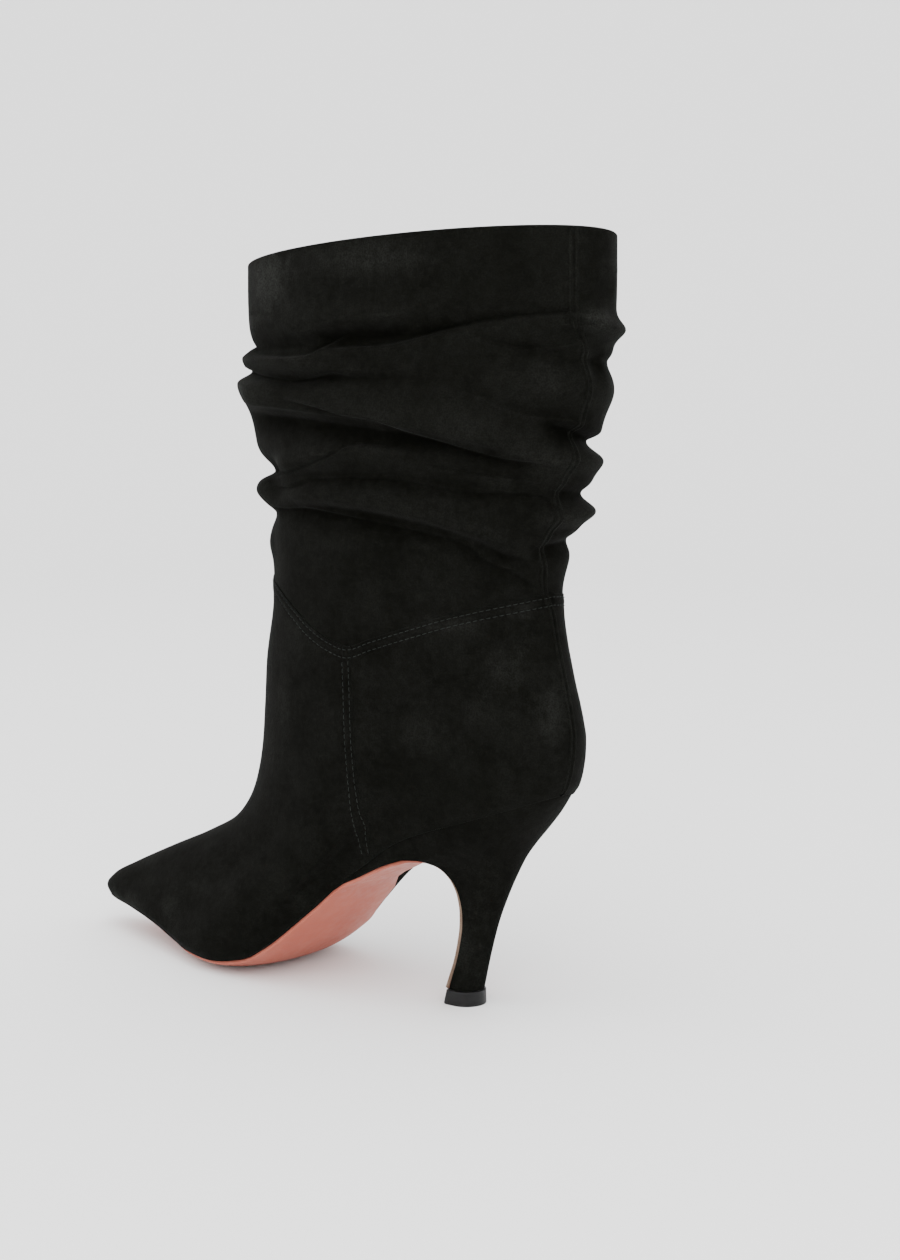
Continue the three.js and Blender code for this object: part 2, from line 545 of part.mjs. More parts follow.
// Back strip over the centre-back seam, just off the facets of the upper
const seamTurn = curve(SEAM, (row) => row.up, (row) => THREE.MathUtils.degToRad(row.turned));
const seamWidth = curve(SEAM, (row) => row.up, (row) => row.width * STRIP_WIDTH);
function onFacet(up, turn, proud) {
  const column = THREE.MathUtils.euclideanModulo((turn * COLUMNS) / (2 * Math.PI), COLUMNS);
  const first = Math.floor(column);
  const ends = [first, first + 1].map((c) => upperPoint(up, turns[c % COLUMNS], proud));
  return ends[0].lerp(ends[1], column - first);
}
function stripRing(up) {
  const half = seamWidth(up) / 2;
  const full = mix(fullness.lateral(0), 0.5, loop.round(up));
  const round = Math.asin(half / (loop.width(up) * full));
  const places = [-round, 0, round].map((away) => seamTurn(up) + away);
  const outer = STRIP_GAP + STRIP_THICKNESS;
  return [
    onFacet(up, places[1], STRIP_GAP),
    onFacet(up, places[2], STRIP_GAP),
    onFacet(up, places[2], outer),
    onFacet(up, places[1], outer),
    onFacet(up, places[0], outer),
    onFacet(up, places[0], STRIP_GAP),
  ];
}
addPart("back_strip", loft(rowsUp.slice(1).map(stripRing), false), SUEDE);

// Insole on top of sole and heel, inside the wall
function insoleRing(from) {
  const inset = WALL + INSOLE_MARGIN;
  const along = mix(seat + inset, toe - TOE_RADIUS - inset, from);
  const narrowed = (side) => {
    const width = featherWidth(mix(seat, toe, from), side);
    return Math.max(width - inset, width * INSOLE_END);
  };
  const [lateral, medial] = [narrowed("lateral"), narrowed("medial")];
  const low = featherHeight(along) + WALL - TRIM;
  const high = low + TRIM + CLEARANCE + INSOLE_THICKNESS;
  const middle = (low + high) / 2;
  return [
    point(along, lateral, middle),
    point(along, lateral - CLEARANCE, low),
    point(along, 0, low),
    point(along, -medial + CLEARANCE, low),
    point(along, -medial, middle),
    point(along, -medial + CLEARANCE, high),
    point(along, 0, high),
    point(along, lateral - CLEARANCE, high),
  ];
}
const insoleTurns = range(INSOLE_STATIONS).map((i) => (Math.PI * (i + 1)) / (INSOLE_STATIONS + 1));
const insoleRings = insoleTurns.map((turn) => insoleRing((1 - Math.cos(turn)) / 2));
const insole = solid(loft(insoleRings, false)).subtract(belowInsole);
addPart("insole", geometryOf(largest(insole)), LINING);

// Path of the sole's upper face, from toe to waist, under the wedge and down the breast
const heelFoot = TOP_PIECE_HEIGHT + CLEARANCE;
const tread = (key) => curve(SOLE, (row) => row.at, (row) => row[key]);
const soleShare = Object.fromEntries(["edge", "crown", "lateral", "medial"].map((key) => [key, tread(key)]));
const soleFrom = toe - SOLE_INSET;
const soleJoin = SOLE[0].at * LENGTH;
const solePath = [
  ...range(SOLE_STATIONS + 1).map((i) => {
    const along = mix(soleFrom, soleJoin, (i / SOLE_STATIONS) ** SOLE_STATION_SPREAD);
    const at = along / LENGTH;
    const inset = (side) => Math.min(SOLE_INSET * soleShare[side](at), featherWidth(along, side) / 2);
    return {
      along,
      height: featherHeight(along) - CLEARANCE,
      top: -TRIM,
      lateral: featherWidth(along, "lateral") - inset("lateral"),
      medial: featherWidth(along, "medial") - inset("medial"),
      edge: SOLE_EDGE * soleShare.edge(at),
      crown: SOLE_CROWN * soleShare.crown(at),
    };
  }),
  ...BREAST.map((row, i) => ({
    along: row.at * LENGTH,
    height: mix(heelFoot, HEEL_HEIGHT, row.height),
    top: 0,
    lateral: row.lateral * BALL_WIDTH,
    medial: row.medial * BALL_WIDTH,
    edge: mix(SOLE_EDGE * SOLE[0].edge, FLAP_THICKNESS, Math.min(i / FLAP_FROM, 1)),
    crown: SOLE_CROWN * SOLE[0].crown * Math.max(1 - i / FLAP_FROM, 0),
  })),
];

// One section of the sole or of the space it needs, square to the path
function soleSection(i, lateral, medial, top, edge, crown) {
  const before = solePath[Math.max(i - 1, 0)];
  const after = solePath[Math.min(i + 1, solePath.length - 1)];
  const way = new THREE.Vector2(after.along - before.along, after.height - before.height).normalize();
  const place = solePath[i];
  const half = SOLE_POINTS / 2;
  return range(SOLE_POINTS).map((k) => {
    const under = k > half;
    const x = Math.cos((Math.PI * k) / half);
    const isEdge = k % half === 0;
    const depth = isEdge ? (top + edge) / 2 : under ? edge + crown * (1 - x * x) : top;
    const across = x > 0 ? lateral * x ** SOLE_SPREAD : -medial * (-x) ** SOLE_SPREAD;
    const height = place.height + way.x * depth;
    return point(place.along - way.y * depth, across, Math.max(height, 0));
  });
}
const soleRings = solePath.map((row, i) => {
  return soleSection(i, row.lateral, row.medial, row.top, row.edge, row.crown);
});
const outsole = solid(loft(soleRings, false)).subtract(aboveFeather);
addPart("outsole", geometryOf(largest(outsole)), CORAL_LEATHER);

// Rounded-back, square-front section used by the heel and its top piece
function heelHalfWidth(along, row) {
  const from = along - row.back;
  const left = row.front - along;
  const isBack = from < row.backWidth;
  const roundBack = Math.sqrt(Math.max(row.backWidth ** 2 - (row.backWidth - from) ** 2, 0));
  const gone = clamp((from - row.backWidth) / (row.front - row.back), 0, 1);
  const straight = mix(row.backWidth, row.frontWidth, gone);
  const inCorner = Math.max(HEEL_CORNER - left, 0);
  const corner = HEEL_CORNER - Math.sqrt(HEEL_CORNER ** 2 - inCorner ** 2);
  return (isBack ? roundBack : straight) - corner;
}
function heelRing(row) {
  return range(HEEL_POINTS).map((k) => {
    const turn = (2 * Math.PI * k) / HEEL_POINTS;
    const from = (1 - Math.cos(turn)) / 2;
    const along = mix(row.back, row.front, from);
    const seatDip = featherHeight(along) - mix(featherHeight(row.back), featherHeight(row.front), from);
    const side = sideOf(turn);
    const limit = Math.max(featherWidth(along, side) - HEEL_INSET, 0);
    const width = k % (HEEL_POINTS / 2) === 0 ? 0 : Math.min(heelHalfWidth(along, row), limit);
    const height = mix(row.backHeight, row.frontHeight, from) + row.sag * seatDip;
    return point(along, side === "lateral" ? width : -width, height);
  });
}
const heelRows = HEEL.map((row) => ({
  back: row.back * LENGTH,
  front: row.front * LENGTH,
  backHeight: mix(heelFoot, HEEL_HEIGHT, row.backHeight),
  frontHeight: mix(heelFoot, HEEL_HEIGHT, row.frontHeight),
  backWidth: row.backWidth * BALL_WIDTH,
  frontWidth: row.frontWidth * BALL_WIDTH,
  sag: row.sag,
}));
heelRows[0].backHeight = featherHeight(heelRows[0].back) + TRIM;
heelRows[0].frontHeight = featherHeight(heelRows[0].front) + TRIM;
const heelBlock = solid(loft(heelRows.map(heelRing), false));
const spaceRings = solePath.map((_, i) => {
  return soleSection(i, SHAFT_WIDTH, SHAFT_WIDTH, -CLEARANCE, SOLE_SPACE, 0);
});
const heel = heelBlock.subtract(solid(loft(spaceRings, false))).subtract(aboveFeather);
addPart("heel", geometryOf(largest(heel)), SUEDE);

// Top piece under the heel and the end of the flap
const lastHeel = heelRows.at(-1);
const topPieceRow = (height, flare) => ({
  back: lastHeel.back - HEEL_INSET,
  front: lastHeel.back - HEEL_INSET + TOP_PIECE_LENGTH + flare,
  backHeight: height,
  frontHeight: height,
  backWidth: TOP_PIECE_WIDTH / 2 + flare / 2,
  frontWidth: TOP_PIECE_WIDTH / 2 + flare / 2,
  sag: 0,
});
const topPieceRings = [topPieceRow(0, TOP_PIECE_FLARE), topPieceRow(TOP_PIECE_HEIGHT, 0)].map(heelRing);
addPart("top_piece", loft(topPieceRings, false), BLACK_PLASTIC);

// Stand the boot in the middle of its own box, on the floor
const box = new THREE.Box3().setFromObject(boot);
const middle = box.getCenter(new THREE.Vector3());
boot.position.set(-middle.x, -middle.y, -box.min.z);
boot.updateMatrixWorld(true);
export default boot;
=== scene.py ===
"""Slouch boot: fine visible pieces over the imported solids, in metres, +Z up, toe towards -Y."""
import bpy
import math
import numpy as np
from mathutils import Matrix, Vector


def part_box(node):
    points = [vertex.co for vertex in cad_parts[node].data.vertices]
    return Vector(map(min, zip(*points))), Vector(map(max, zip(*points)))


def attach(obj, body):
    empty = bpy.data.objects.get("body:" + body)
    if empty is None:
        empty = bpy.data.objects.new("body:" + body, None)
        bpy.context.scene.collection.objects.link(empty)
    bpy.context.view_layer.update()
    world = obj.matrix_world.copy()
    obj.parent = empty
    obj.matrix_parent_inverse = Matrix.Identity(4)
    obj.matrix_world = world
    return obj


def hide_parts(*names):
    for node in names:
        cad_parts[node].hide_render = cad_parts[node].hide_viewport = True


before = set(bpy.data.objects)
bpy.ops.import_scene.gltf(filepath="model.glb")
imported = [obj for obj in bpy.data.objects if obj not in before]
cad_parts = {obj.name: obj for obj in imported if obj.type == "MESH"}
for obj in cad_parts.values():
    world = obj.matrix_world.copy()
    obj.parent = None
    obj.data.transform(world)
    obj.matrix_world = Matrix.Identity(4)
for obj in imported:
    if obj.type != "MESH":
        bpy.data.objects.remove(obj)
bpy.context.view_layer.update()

# sizes of the boot in millimetres, and shares of them
LENGTH = 250.0
BALL_WIDTH = 68.0
HEEL_HEIGHT = 86.0
INSTEP_HEIGHT = 126.0
ANKLE_HEIGHT = 160.0
BOOT_HEIGHT = 292.0
SHAFT_HEIGHT = BOOT_HEIGHT - ANKLE_HEIGHT
SHAFT_LENGTH = 161.0
SHAFT_WIDTH = 86.0
SHAFT_MIDDLE = 70.0
TOE_SPRING = 11.5
TOE_RADIUS = 4.5
SEAT_RADIUS = 22.0
WALL = 1.8
LASTING = 7.0
LASTING_END = 0.6
RIM_TILT = 3.6
FOLD_RISE = 4.0
FOLD_PITCH = 18.0
FINEST_FOLD = 0.09
FOLD_FADE = 0.34
FOLD_START = 0.05
CREASE_EDGE = 0.6
CREASE_FADE = 14.0
SOLE_EDGE = 1.4
SOLE_CROWN = 4.8
TREAD_FLAT = 1.4
SOLE_INSET = 1.4
FLAP_THICKNESS = 1.4
FLAP_FROM = 7
SOLE_SPREAD = 0.8
SOLE_SPACE = 6.0
INSOLE_THICKNESS = 2.6
INSOLE_MARGIN = 2.5
INSOLE_END = 0.7
HEEL_INSET = 0.5
HEEL_CORNER = 2.0
HEEL_ABOVE = 1.2
HEEL_SECTIONS = 70
TOP_PIECE_LENGTH = 12.4
TOP_PIECE_WIDTH = 15.0
TOP_PIECE_HEIGHT = 5.6
TOP_PIECE_FLARE = 0.9
CLEARANCE = 0.3
TREAD_HEIGHT = SOLE_EDGE + SOLE_CROWN + CLEARANCE - TREAD_FLAT
TOE_LIFT = TOE_SPRING + SOLE_EDGE + CLEARANCE
STRAP_WIDTH = 3.4
STRAP_LIFT = 0.85
# how much the back seam's raised lips are painted lighter: a painted highlight
PAINTED_SEAM_HIGHLIGHT = 4.5
BACK_GAP = math.radians(1.1)
STITCH_PITCH = 2.5
STITCH_LENGTH = 0.72
STITCH_RADIUS = 0.17
STITCH_SIDES = 6
STITCH_PROUD = 0.04
STITCH_END = 0.012
# rings of one stitch: place along it, share of its radius and lift off the suede
STITCH_RINGS = (
    (0.0, 0.25, -0.16), (0.16, 0.85, 0.02), (0.5, 1.0, 0.1), (0.84, 0.85, 0.02), (1.0, 0.25, -0.16))
ROW_GAP = 3.0
GROOVE_DEPTH = 0.22
GROOVE_WIDTH = 0.5
PUFF_WIDTH = 1.2
YOKE_PUFF = 0.16
SIDE_PUFF = 0.14
SEAM_HOP = 0.35
SEAM_REACH = 3.4
EDGE_PAST = 1.1
PAST = ROW_GAP / 2 + EDGE_PAST
QUARTER_PAST = 1.0
LOWER_PROUD = 0.4
VAMP_PROUD = 0.4
VAMP_FADE = 7.0
SHAFT_UNDER = 6.0
RIM_UP = 0.9955
FACING_UP = 0.92
TREAD_STATIONS = 90
BREAST_STATIONS = 90
FLAP_STATION = 34
# rounded cut edge of a panel: how far each ring goes out and down
EDGE_ROLL = ((0.16, 0.06), (0.28, 0.28), (0.3, 0.75))
# tries that find a height, and that settle a seam
HALVINGS = 26
SETTLING = 14


def table(columns, *rows):
    """Named rows of numbers. A row that ends early goes on with zeros."""
    names = columns.split()
    return [{**dict.fromkeys(names, 0), **dict(zip(names, row))} for row in rows]


# Feather line, where upper meets sole: place from seat to toe, its rise, half widths of the upper
FEATHER = table(
    "at climb spring outer inner",
    (0.045, 0.947, 0, 0.3, 0.3),
    (0.1, 0.889, 0, 0.36, 0.36),
    (0.217, 0.766, 0, 0.357, 0.341),
    (0.26, 0.703, 0, 0.352, 0.315),
    (0.311, 0.595, 0, 0.35, 0.294),
    (0.377, 0.439, 0, 0.375, 0.31),
    (0.443, 0.262, 0, 0.432, 0.36),
    (0.496, 0.126, 0, 0.485, 0.425),
    (0.549, 0.038, 0, 0.505, 0.468),
    (0.619, 0.002, 0, 0.505, 0.492),
    (0.689, 0, 0.03, 0.442, 0.5),
    (0.742, 0, 0.23, 0.373, 0.456),
    (0.799, 0, 0.58, 0.315, 0.382),
    (0.861, 0, 0.81, 0.248, 0.294),
    (0.922, 0, 0.92, 0.175, 0.203),
)
# Loops of the foot part, from the feather line up to the ankle
FOOT = table(
    "up back back_rise front front_rise width round sag",
    (0.0, 0.016, 0.0, 0.984, 0.0, 1.0, 0.0, 1.0),
    (0.02, 0.007, 0.05, 0.992, 0.031, 1.05, 0.0, 1.0),
    (0.05, 0.0, 0.13, 0.972, 0.078, 1.06, 0.04, 0.95),
    (0.09, -0.004, 0.216, 0.915, 0.142, 1.05, 0.12, 0.88),
    (0.13, -0.005, 0.297, 0.822, 0.235, 1.03, 0.25, 0.78),
    (0.17, -0.002, 0.378, 0.73, 0.323, 1.0, 0.42, 0.66),
    (0.21, 0.003, 0.46, 0.66, 0.407, 0.99, 0.6, 0.52),
    (0.25, 0.01, 0.554, 0.617, 0.527, 0.99, 0.78, 0.38),
    (0.29, 0.018, 0.662, 0.595, 0.681, 1.0, 0.9, 0.25),
    (0.33, 0.026, 0.77, 0.585, 0.841, 1.02, 0.97, 0.14),
    (0.37, 0.033, 0.892, 0.577, 1.0, 1.045, 1.0, 0.06),
)
# Loops of the shaft, from the ankle up to the collar
SHAFT = table(
    "up back back_rise front front_rise width",
    (0.42, 0.379, 0.0, 0.434, -0.076, 0.84),
    (0.49, 0.405, 0.121, 0.432, 0.091, 0.885),
    (0.58, 0.448, 0.273, 0.452, 0.258, 0.93),
    (0.66, 0.474, 0.409, 0.484, 0.394, 0.965),
    (0.74, 0.495, 0.545, 0.501, 0.538, 0.99),
    (0.82, 0.511, 0.682, 0.502, 0.667, 1.0),
    (0.91, 0.521, 0.833, 0.506, 0.782, 1.0),
    (1.0, 0.522, 0.992, 0.508, 0.89, 0.98),
)
# Main folds of the shaft. start, end: degrees round from the centre back, by the outer side.
# low, middle, high: heights of the line at its start, middle and end, as shares of the shaft above the ankle.
# rise: how far it stands out. above, below: half widths. droop: how far it hangs over what is under it.
FOLDS = table(
    "start end low middle high rise above below droop",
    (20, 222, 0.785, 0.672, 0.69, -0.42, 0.3, 0.1),
    (88, 235, 0.635, 0.635, 0.65, 0.7, 0.14, 0.2),
    (62, 240, 0.592, 0.592, 0.61, -0.5, 0.1, 0.14),
    (70, 104, 0.71, 0.705, 0.7, -0.5, 0.2, 0.12),
    (52, 150, 0.81, 0.742, 0.735, 0.35, 0.3, 0.25),
    (112, 245, 0.56, 0.565, 0.55, 1.3, 0.2, 0.5),
    (12, 152, 0.355, 0.49, 0.515, 0.55, 0.5, 0.12, 0.3),
    (18, 148, 0.33, 0.445, 0.47, -0.75, 0.12, 0.3),
    (8, 140, 0.3, 0.395, 0.295, 0.5, 0.22, 0.22),
    (36, 146, 0.28, 0.325, 0.262, -0.45, 0.12, 0.22),
    (118, 245, 0.33, 0.3, 0.33, -1.25, 0.3, 0.12),
    (128, 240, 0.24, 0.26, 0.255, 1.0, 0.25, 0.25),
    (130, 232, 0.19, 0.185, 0.2, -0.6, 0.14, 0.25),
    (14, 130, 0.075, 0.245, 0.25, 0.45, 0.36, 0.2, 0.3),
    (6, 134, 0.03, 0.2, 0.2, -0.5, 0.14, 0.4),
    (140, 222, 0.09, 0.1, 0.09, 0.35, 0.3, 0.3),
    (-40, 22, 0.72, 0.725, 0.75, 1.0, 0.22, 0.2),
    (-60, 50, 0.64, 0.64, 0.69, -0.45, 0.12, 0.25),
    (-62, 55, 0.53, 0.56, 0.6, 0.6, 0.4, 0.4),
    (-70, 30, 0.41, 0.42, 0.485, -1.25, 0.1, 0.26),
    (-66, 34, 0.37, 0.365, 0.38, 0.8, 0.22, 0.25),
    (-70, 24, 0.28, 0.275, 0.29, -0.8, 0.14, 0.2),
    (-60, 26, 0.22, 0.22, 0.21, 1.1, 0.2, 0.2),
    (-66, 24, 0.14, 0.145, 0.12, -0.85, 0.14, 0.25),
    (205, 335, 0.64, 0.67, 0.7, 0.6, 0.22, 0.25),
    (200, 340, 0.71, 0.735, 0.78, -0.5, 0.3, 0.12),
    (210, 330, 0.58, 0.59, 0.62, -0.6, 0.14, 0.25),
    (205, 325, 0.5, 0.53, 0.5, 0.55, 0.35, 0.2),
    (210, 330, 0.45, 0.465, 0.42, -0.75, 0.14, 0.3),
    (205, 325, 0.36, 0.375, 0.35, 0.5, 0.25, 0.25),
    (210, 322, 0.3, 0.3, 0.28, -0.55, 0.14, 0.3),
    (205, 320, 0.19, 0.21, 0.17, 0.45, 0.3, 0.25),
    (205, 330, 0.14, 0.13, 0.08, -0.45, 0.2, 0.4),
)
# Sharp creases between them: degrees round and heights in millimetres of the places along each one.
# above, below: how far the wall stands out on each side of it, and how far that reaches.
CREASES = table(
    "above above_width below below_width degrees heights",
    (-1.7, 2.0, 0.9, 2.2, (86, 93, 98, 105, 115, 127, 149, 170), (255, 253, 250, 246, 245, 245, 247, 249)),
    (0.5, 2.2, -1.3, 2.2, (84, 90, 95, 104, 113, 126, 150, 172), (236, 239, 240, 238, 237, 238, 240, 240)),
    (-1.5, 2.0, 0.9, 2.2, (6, 17, 44, 58, 67, 77, 89, 104), (260, 261, 259, 256, 253, 250, 249, 248)),
    (-0.8, 2.6, 0.5, 2.6, (4, 13, 21, 35, 41, 48, 60), (255, 252, 250, 249, 250, 252, 256)),
    (0.7, 2.6, -1.7, 3.2,
     (14, 25, 37, 50, 63, 72, 79, 91, 103, 118), (207, 209, 210, 213, 217, 220, 224, 226, 229, 231)),
    (-0.7, 2.6, 0.45, 2.2, (2, 12, 25, 37, 47, 53, 60), (222, 224, 225, 228, 232, 235, 238)),
    (0.3, 2.0, -0.5, 1.4, (6, 22, 31, 40), (234, 233, 233, 234)),
    (-1.2, 2.0, 0.9, 2.2, (62, 73, 84, 90, 94, 104, 119, 136), (211, 213, 214, 213, 210, 206, 202, 199)),
    (-0.5, 3.0, 0.5, 2.0, (14, 30, 42, 55, 67, 78), (201, 203, 204, 206, 208, 211)),
    (0.4, 2.0, -1.1, 2.2,
     (0, 6, 13, 22, 36, 51, 63, 76, 89, 105, 121, 138),
     (185, 188, 193, 197, 198, 198, 200, 202, 202, 201, 197, 195)),
    (0.45, 2.6, -1.1, 2.4,
     (8, 27, 39, 49, 59, 70, 90, 113, 129, 146), (162, 169, 173, 179, 182, 184, 187, 189, 188, 188)),
    (-0.25, 3.0, 0.5, 2.6,
     (62, 70, 76, 89, 98, 108, 117, 135, 152), (266, 264, 261, 260, 258, 255, 259, 261, 262)),
    (-0.8, 2.4, 0.6, 2.2, (200, 226, 256, 292, 322), (249, 252, 249, 254, 259)),
    (0.5, 2.4, -1.0, 3.0, (206, 232, 262, 296, 330), (228, 231, 226, 220, 214)),
    (-0.7, 2.2, 0.6, 2.4, (210, 240, 268, 300, 334), (208, 211, 206, 203, 202)),
    (0.3, 2.4, -0.8, 2.6, (206, 236, 270, 302, 332), (191, 193, 190, 183, 172)),
)
# Knuckles and pockets beside the centre-back seam: place, reach and how far they stand out
KNUCKLES = table(
    "degrees height reach_degrees reach_height rise",
    (8, 260.6, 9, 4.2, 1.7),
    (10, 257.9, 5, 0.9, -2.0),
    (0, 241.5, 5, 7.0, -1.3),
    (-3, 270, 9, 4.0, -1.3),
    (-4, 276.5, 12, 2.4, 0.6),
    (2, 212, 9, 5.0, 0.5),
)
# Centre-back seam: how far the slack shaft has turned it, and the width of its strap
SEAM = table(
    "up turned width",
    (0.0, 0, 1.2),
    (0.36, 0, 1.15),
    (0.42, 5, 1.05),
    (0.52, 12, 1),
    (0.6, 11, 1),
    (0.7, 6, 1),
    (0.8, 8, 1),
    (0.86, 17, 1),
    (1.0, 18, 1),
)
# Seam between shaft and foot: degrees round the boot and height of its upper row of stitches
YOKE = table(
    "degrees height",
    (0, 159), (15, 158), (31, 156), (50, 152), (68, 146), (81, 141), (91, 137.2), (99, 139),
    (109, 143), (122, 149.5), (140, 156), (180, 160),
)
YOKE += [dict(row, degrees=360 - row["degrees"]) for row in YOKE[-2::-1]]
# Side seam between vamp and quarter: height and place along the boot
SIDE_SEAM = table(
    "height along",
    (50, 76.8), (57, 77.1), (62, 77.6), (66, 77.4), (69, 76.4), (73, 76), (80, 76.1), (91, 77),
    (107, 77.8), (124, 77.6), (145, 77.4),
)
# Sole from waist to toe: thickness of its edge, its crown and how far it stays inside the upper
SOLE = table(
    "at edge crown outer inner",
    (0.4, 0.85, 0.25, 1.0, 2.6),
    (0.44, 0.85, 0.42, 1.0, 2.3),
    (0.49, 0.9, 0.64, 1.0, 1.5),
    (0.55, 0.95, 0.85, 1.0, 1.3),
    (0.62, 1.0, 1.0, 1.0, 1.1),
    (0.7, 1.0, 0.95, 1.0, 1.0),
    (0.8, 0.95, 0.4, 1.6, 1.2),
    (0.9, 0.85, 0.16, 1.8, 1.5),
    (1.0, 0.8, 0.1, 1.6, 1.4),
)
# Flap of the sole down the front of the heel, from the waist to the heel's foot
BREAST = table(
    "at height outer inner",
    (0.38, 0.436, 0.36, 0.19),
    (0.36, 0.478, 0.352, 0.188),
    (0.332, 0.522, 0.335, 0.19),
    (0.3, 0.576, 0.315, 0.195),
    (0.272, 0.613, 0.29, 0.2),
    (0.248, 0.635, 0.258, 0.2),
    (0.228, 0.638, 0.225, 0.19),
    (0.21, 0.62, 0.19, 0.175),
    (0.196, 0.583, 0.162, 0.158),
    (0.186, 0.532, 0.14, 0.14),
    (0.181, 0.469, 0.12, 0.12),
    (0.179, 0.4, 0.108, 0.108),
    (0.181, 0.313, 0.098, 0.098),
    (0.186, 0.232, 0.093, 0.093),
    (0.193, 0.145, 0.091, 0.091),
    (0.203, 0.051, 0.095, 0.095),
    (0.2085, 0.0, 0.098, 0.098),
)
# Sections of the heel from seat to foot
HEEL = table(
    "back back_height front front_height back_width front_width sag",
    (0.018, 1.0, 0.388, 0.44, 0.36, 0.4, 1.0),
    (0.034, 0.916, 0.36, 0.455, 0.327, 0.36, 0.85),
    (0.055, 0.826, 0.31, 0.53, 0.287, 0.325, 0.6),
    (0.076, 0.742, 0.264, 0.59, 0.245, 0.282, 0.3),
    (0.0915, 0.67, 0.23, 0.6, 0.205, 0.235, 0.1),
    (0.107, 0.572, 0.2, 0.55, 0.163, 0.17, 0),
    (0.122, 0.464, 0.186, 0.455, 0.128, 0.123, 0),
    (0.138, 0.33, 0.186, 0.33, 0.103, 0.1, 0),
    (0.153, 0.165, 0.198, 0.165, 0.094, 0.092, 0),
    (0.166, 0.0, 0.212, 0.0, 0.098, 0.098, 0),
)

# small helpers
TURN = 2 * math.pi


def count(n):
    return int(n * (1.0))


def mix(a, b, share):
    return a + (b - a) * share


def smooth(x):
    x = np.clip(x, 0, 1)
    return x * x * (3 - 2 * x)


def curve(rows, at, value):
    """A smooth line through a table's rows that never swings past one."""
    x = np.array([row[at] for row in rows], float)
    y = np.array([row[value] for row in rows], float)
    slopes = np.diff(y) / np.diff(x)
    before, after = np.r_[slopes[0], slopes], np.r_[slopes, slopes[-1]]
    both = before * after
    tangent = np.where(both > 0, 2 * both / np.where(both > 0, before + after, 1), 0)

    def at_place(q):
        q = np.clip(np.asarray(q, float), x[0], x[-1])
        i = np.clip(np.searchsorted(x, q) - 1, 0, len(x) - 2)
        span = x[i + 1] - x[i]
        t = (q - x[i]) / span
        swing = tangent[i] * t * (1 - t) ** 2 - tangent[i + 1] * t * t * (1 - t)
        return mix(y[i], y[i + 1], t * t * (3 - 2 * t)) + span * swing

    return at_place


def curves(rows, at="row"):
    """Smooth lines through a table's other columns, or from row to row."""
    rows = [dict(row, row=i) for i, row in enumerate(rows)]
    return {key: curve(rows, at, key) for key in rows[0] if key not in (at, "row")}


def half_of(turn):
    """Way round from the centre back, by the nearer side."""
    return np.minimum(turn, TURN - turn)


def share_of_turn(turn):
    return (1 - np.cos(turn)) / 2


# feather line and loops of the upper
SEAT = FOOT[0]["back"] * LENGTH
TOE = FOOT[0]["front"] * LENGTH
ends = table("at climb spring", (0, 1, 0), (1, 0, 1))
climb, spring = curves([ends[0], *FEATHER, ends[1]], "at").values()


def feather_at(share):
    rise = climb(share) * (HEEL_HEIGHT - TREAD_HEIGHT) + spring(share) * (TOE_LIFT - TREAD_HEIGHT)
    return TREAD_HEIGHT + rise


def share_of(along):
    return np.clip((along - SEAT) / (TOE - SEAT), 0, 1)


def feather_height(along):
    return feather_at(share_of(along))


def dip(share):
    return feather_at(share) - mix(HEEL_HEIGHT, TOE_LIFT, share)


def turn_of(share):
    return np.arccos(1 - 2 * share)


def side_fullness(side):
    def end(radius):
        return math.sqrt(radius * (TOE - SEAT) / 2) / BALL_WIDTH

    between = [(float(turn_of(row["at"])), row[side] / math.sin(turn_of(row["at"]))) for row in FEATHER]
    rows = [(0.0, end(SEAT_RADIUS)), *between, (math.pi, end(TOE_RADIUS))]
    return curve(table("turn full", *rows), "turn", "full")


FULL = {"outer": side_fullness("outer"), "inner": side_fullness("inner")}


def feather_width(along, side):
    turn = turn_of(share_of(along))
    return BALL_WIDTH * FULL[side](turn) * np.sin(turn)


def either_width(along, outer):
    return np.where(outer, feather_width(along, "outer"), feather_width(along, "inner"))


LOOPS = [
    dict(up=r["up"], back=r["back"] * LENGTH, back_height=mix(HEEL_HEIGHT, ANKLE_HEIGHT, r["back_rise"]),
         front=r["front"] * LENGTH, front_height=mix(TOE_LIFT, INSTEP_HEIGHT, r["front_rise"]),
         width=r["width"] * BALL_WIDTH, round=r["round"], sag=r["sag"])
    for r in FOOT
] + [
    dict(up=r["up"], back=SHAFT_MIDDLE - r["back"] * SHAFT_LENGTH,
         back_height=ANKLE_HEIGHT + r["back_rise"] * SHAFT_HEIGHT,
         front=SHAFT_MIDDLE + r["front"] * SHAFT_LENGTH,
         front_height=ANKLE_HEIGHT + r["front_rise"] * SHAFT_HEIGHT,
         width=r["width"] * SHAFT_WIDTH, round=1.0, sag=0.0)
    for r in SHAFT
]
LOOP = curves(LOOPS, "up")
CREASE_LINES = [curve(table("at height", *zip(row["degrees"], row["heights"])), "at", "height")
                for row in CREASES]
FOOT_TOP = FOOT[-1]["up"]
ANKLE_UP = SHAFT[0]["up"]


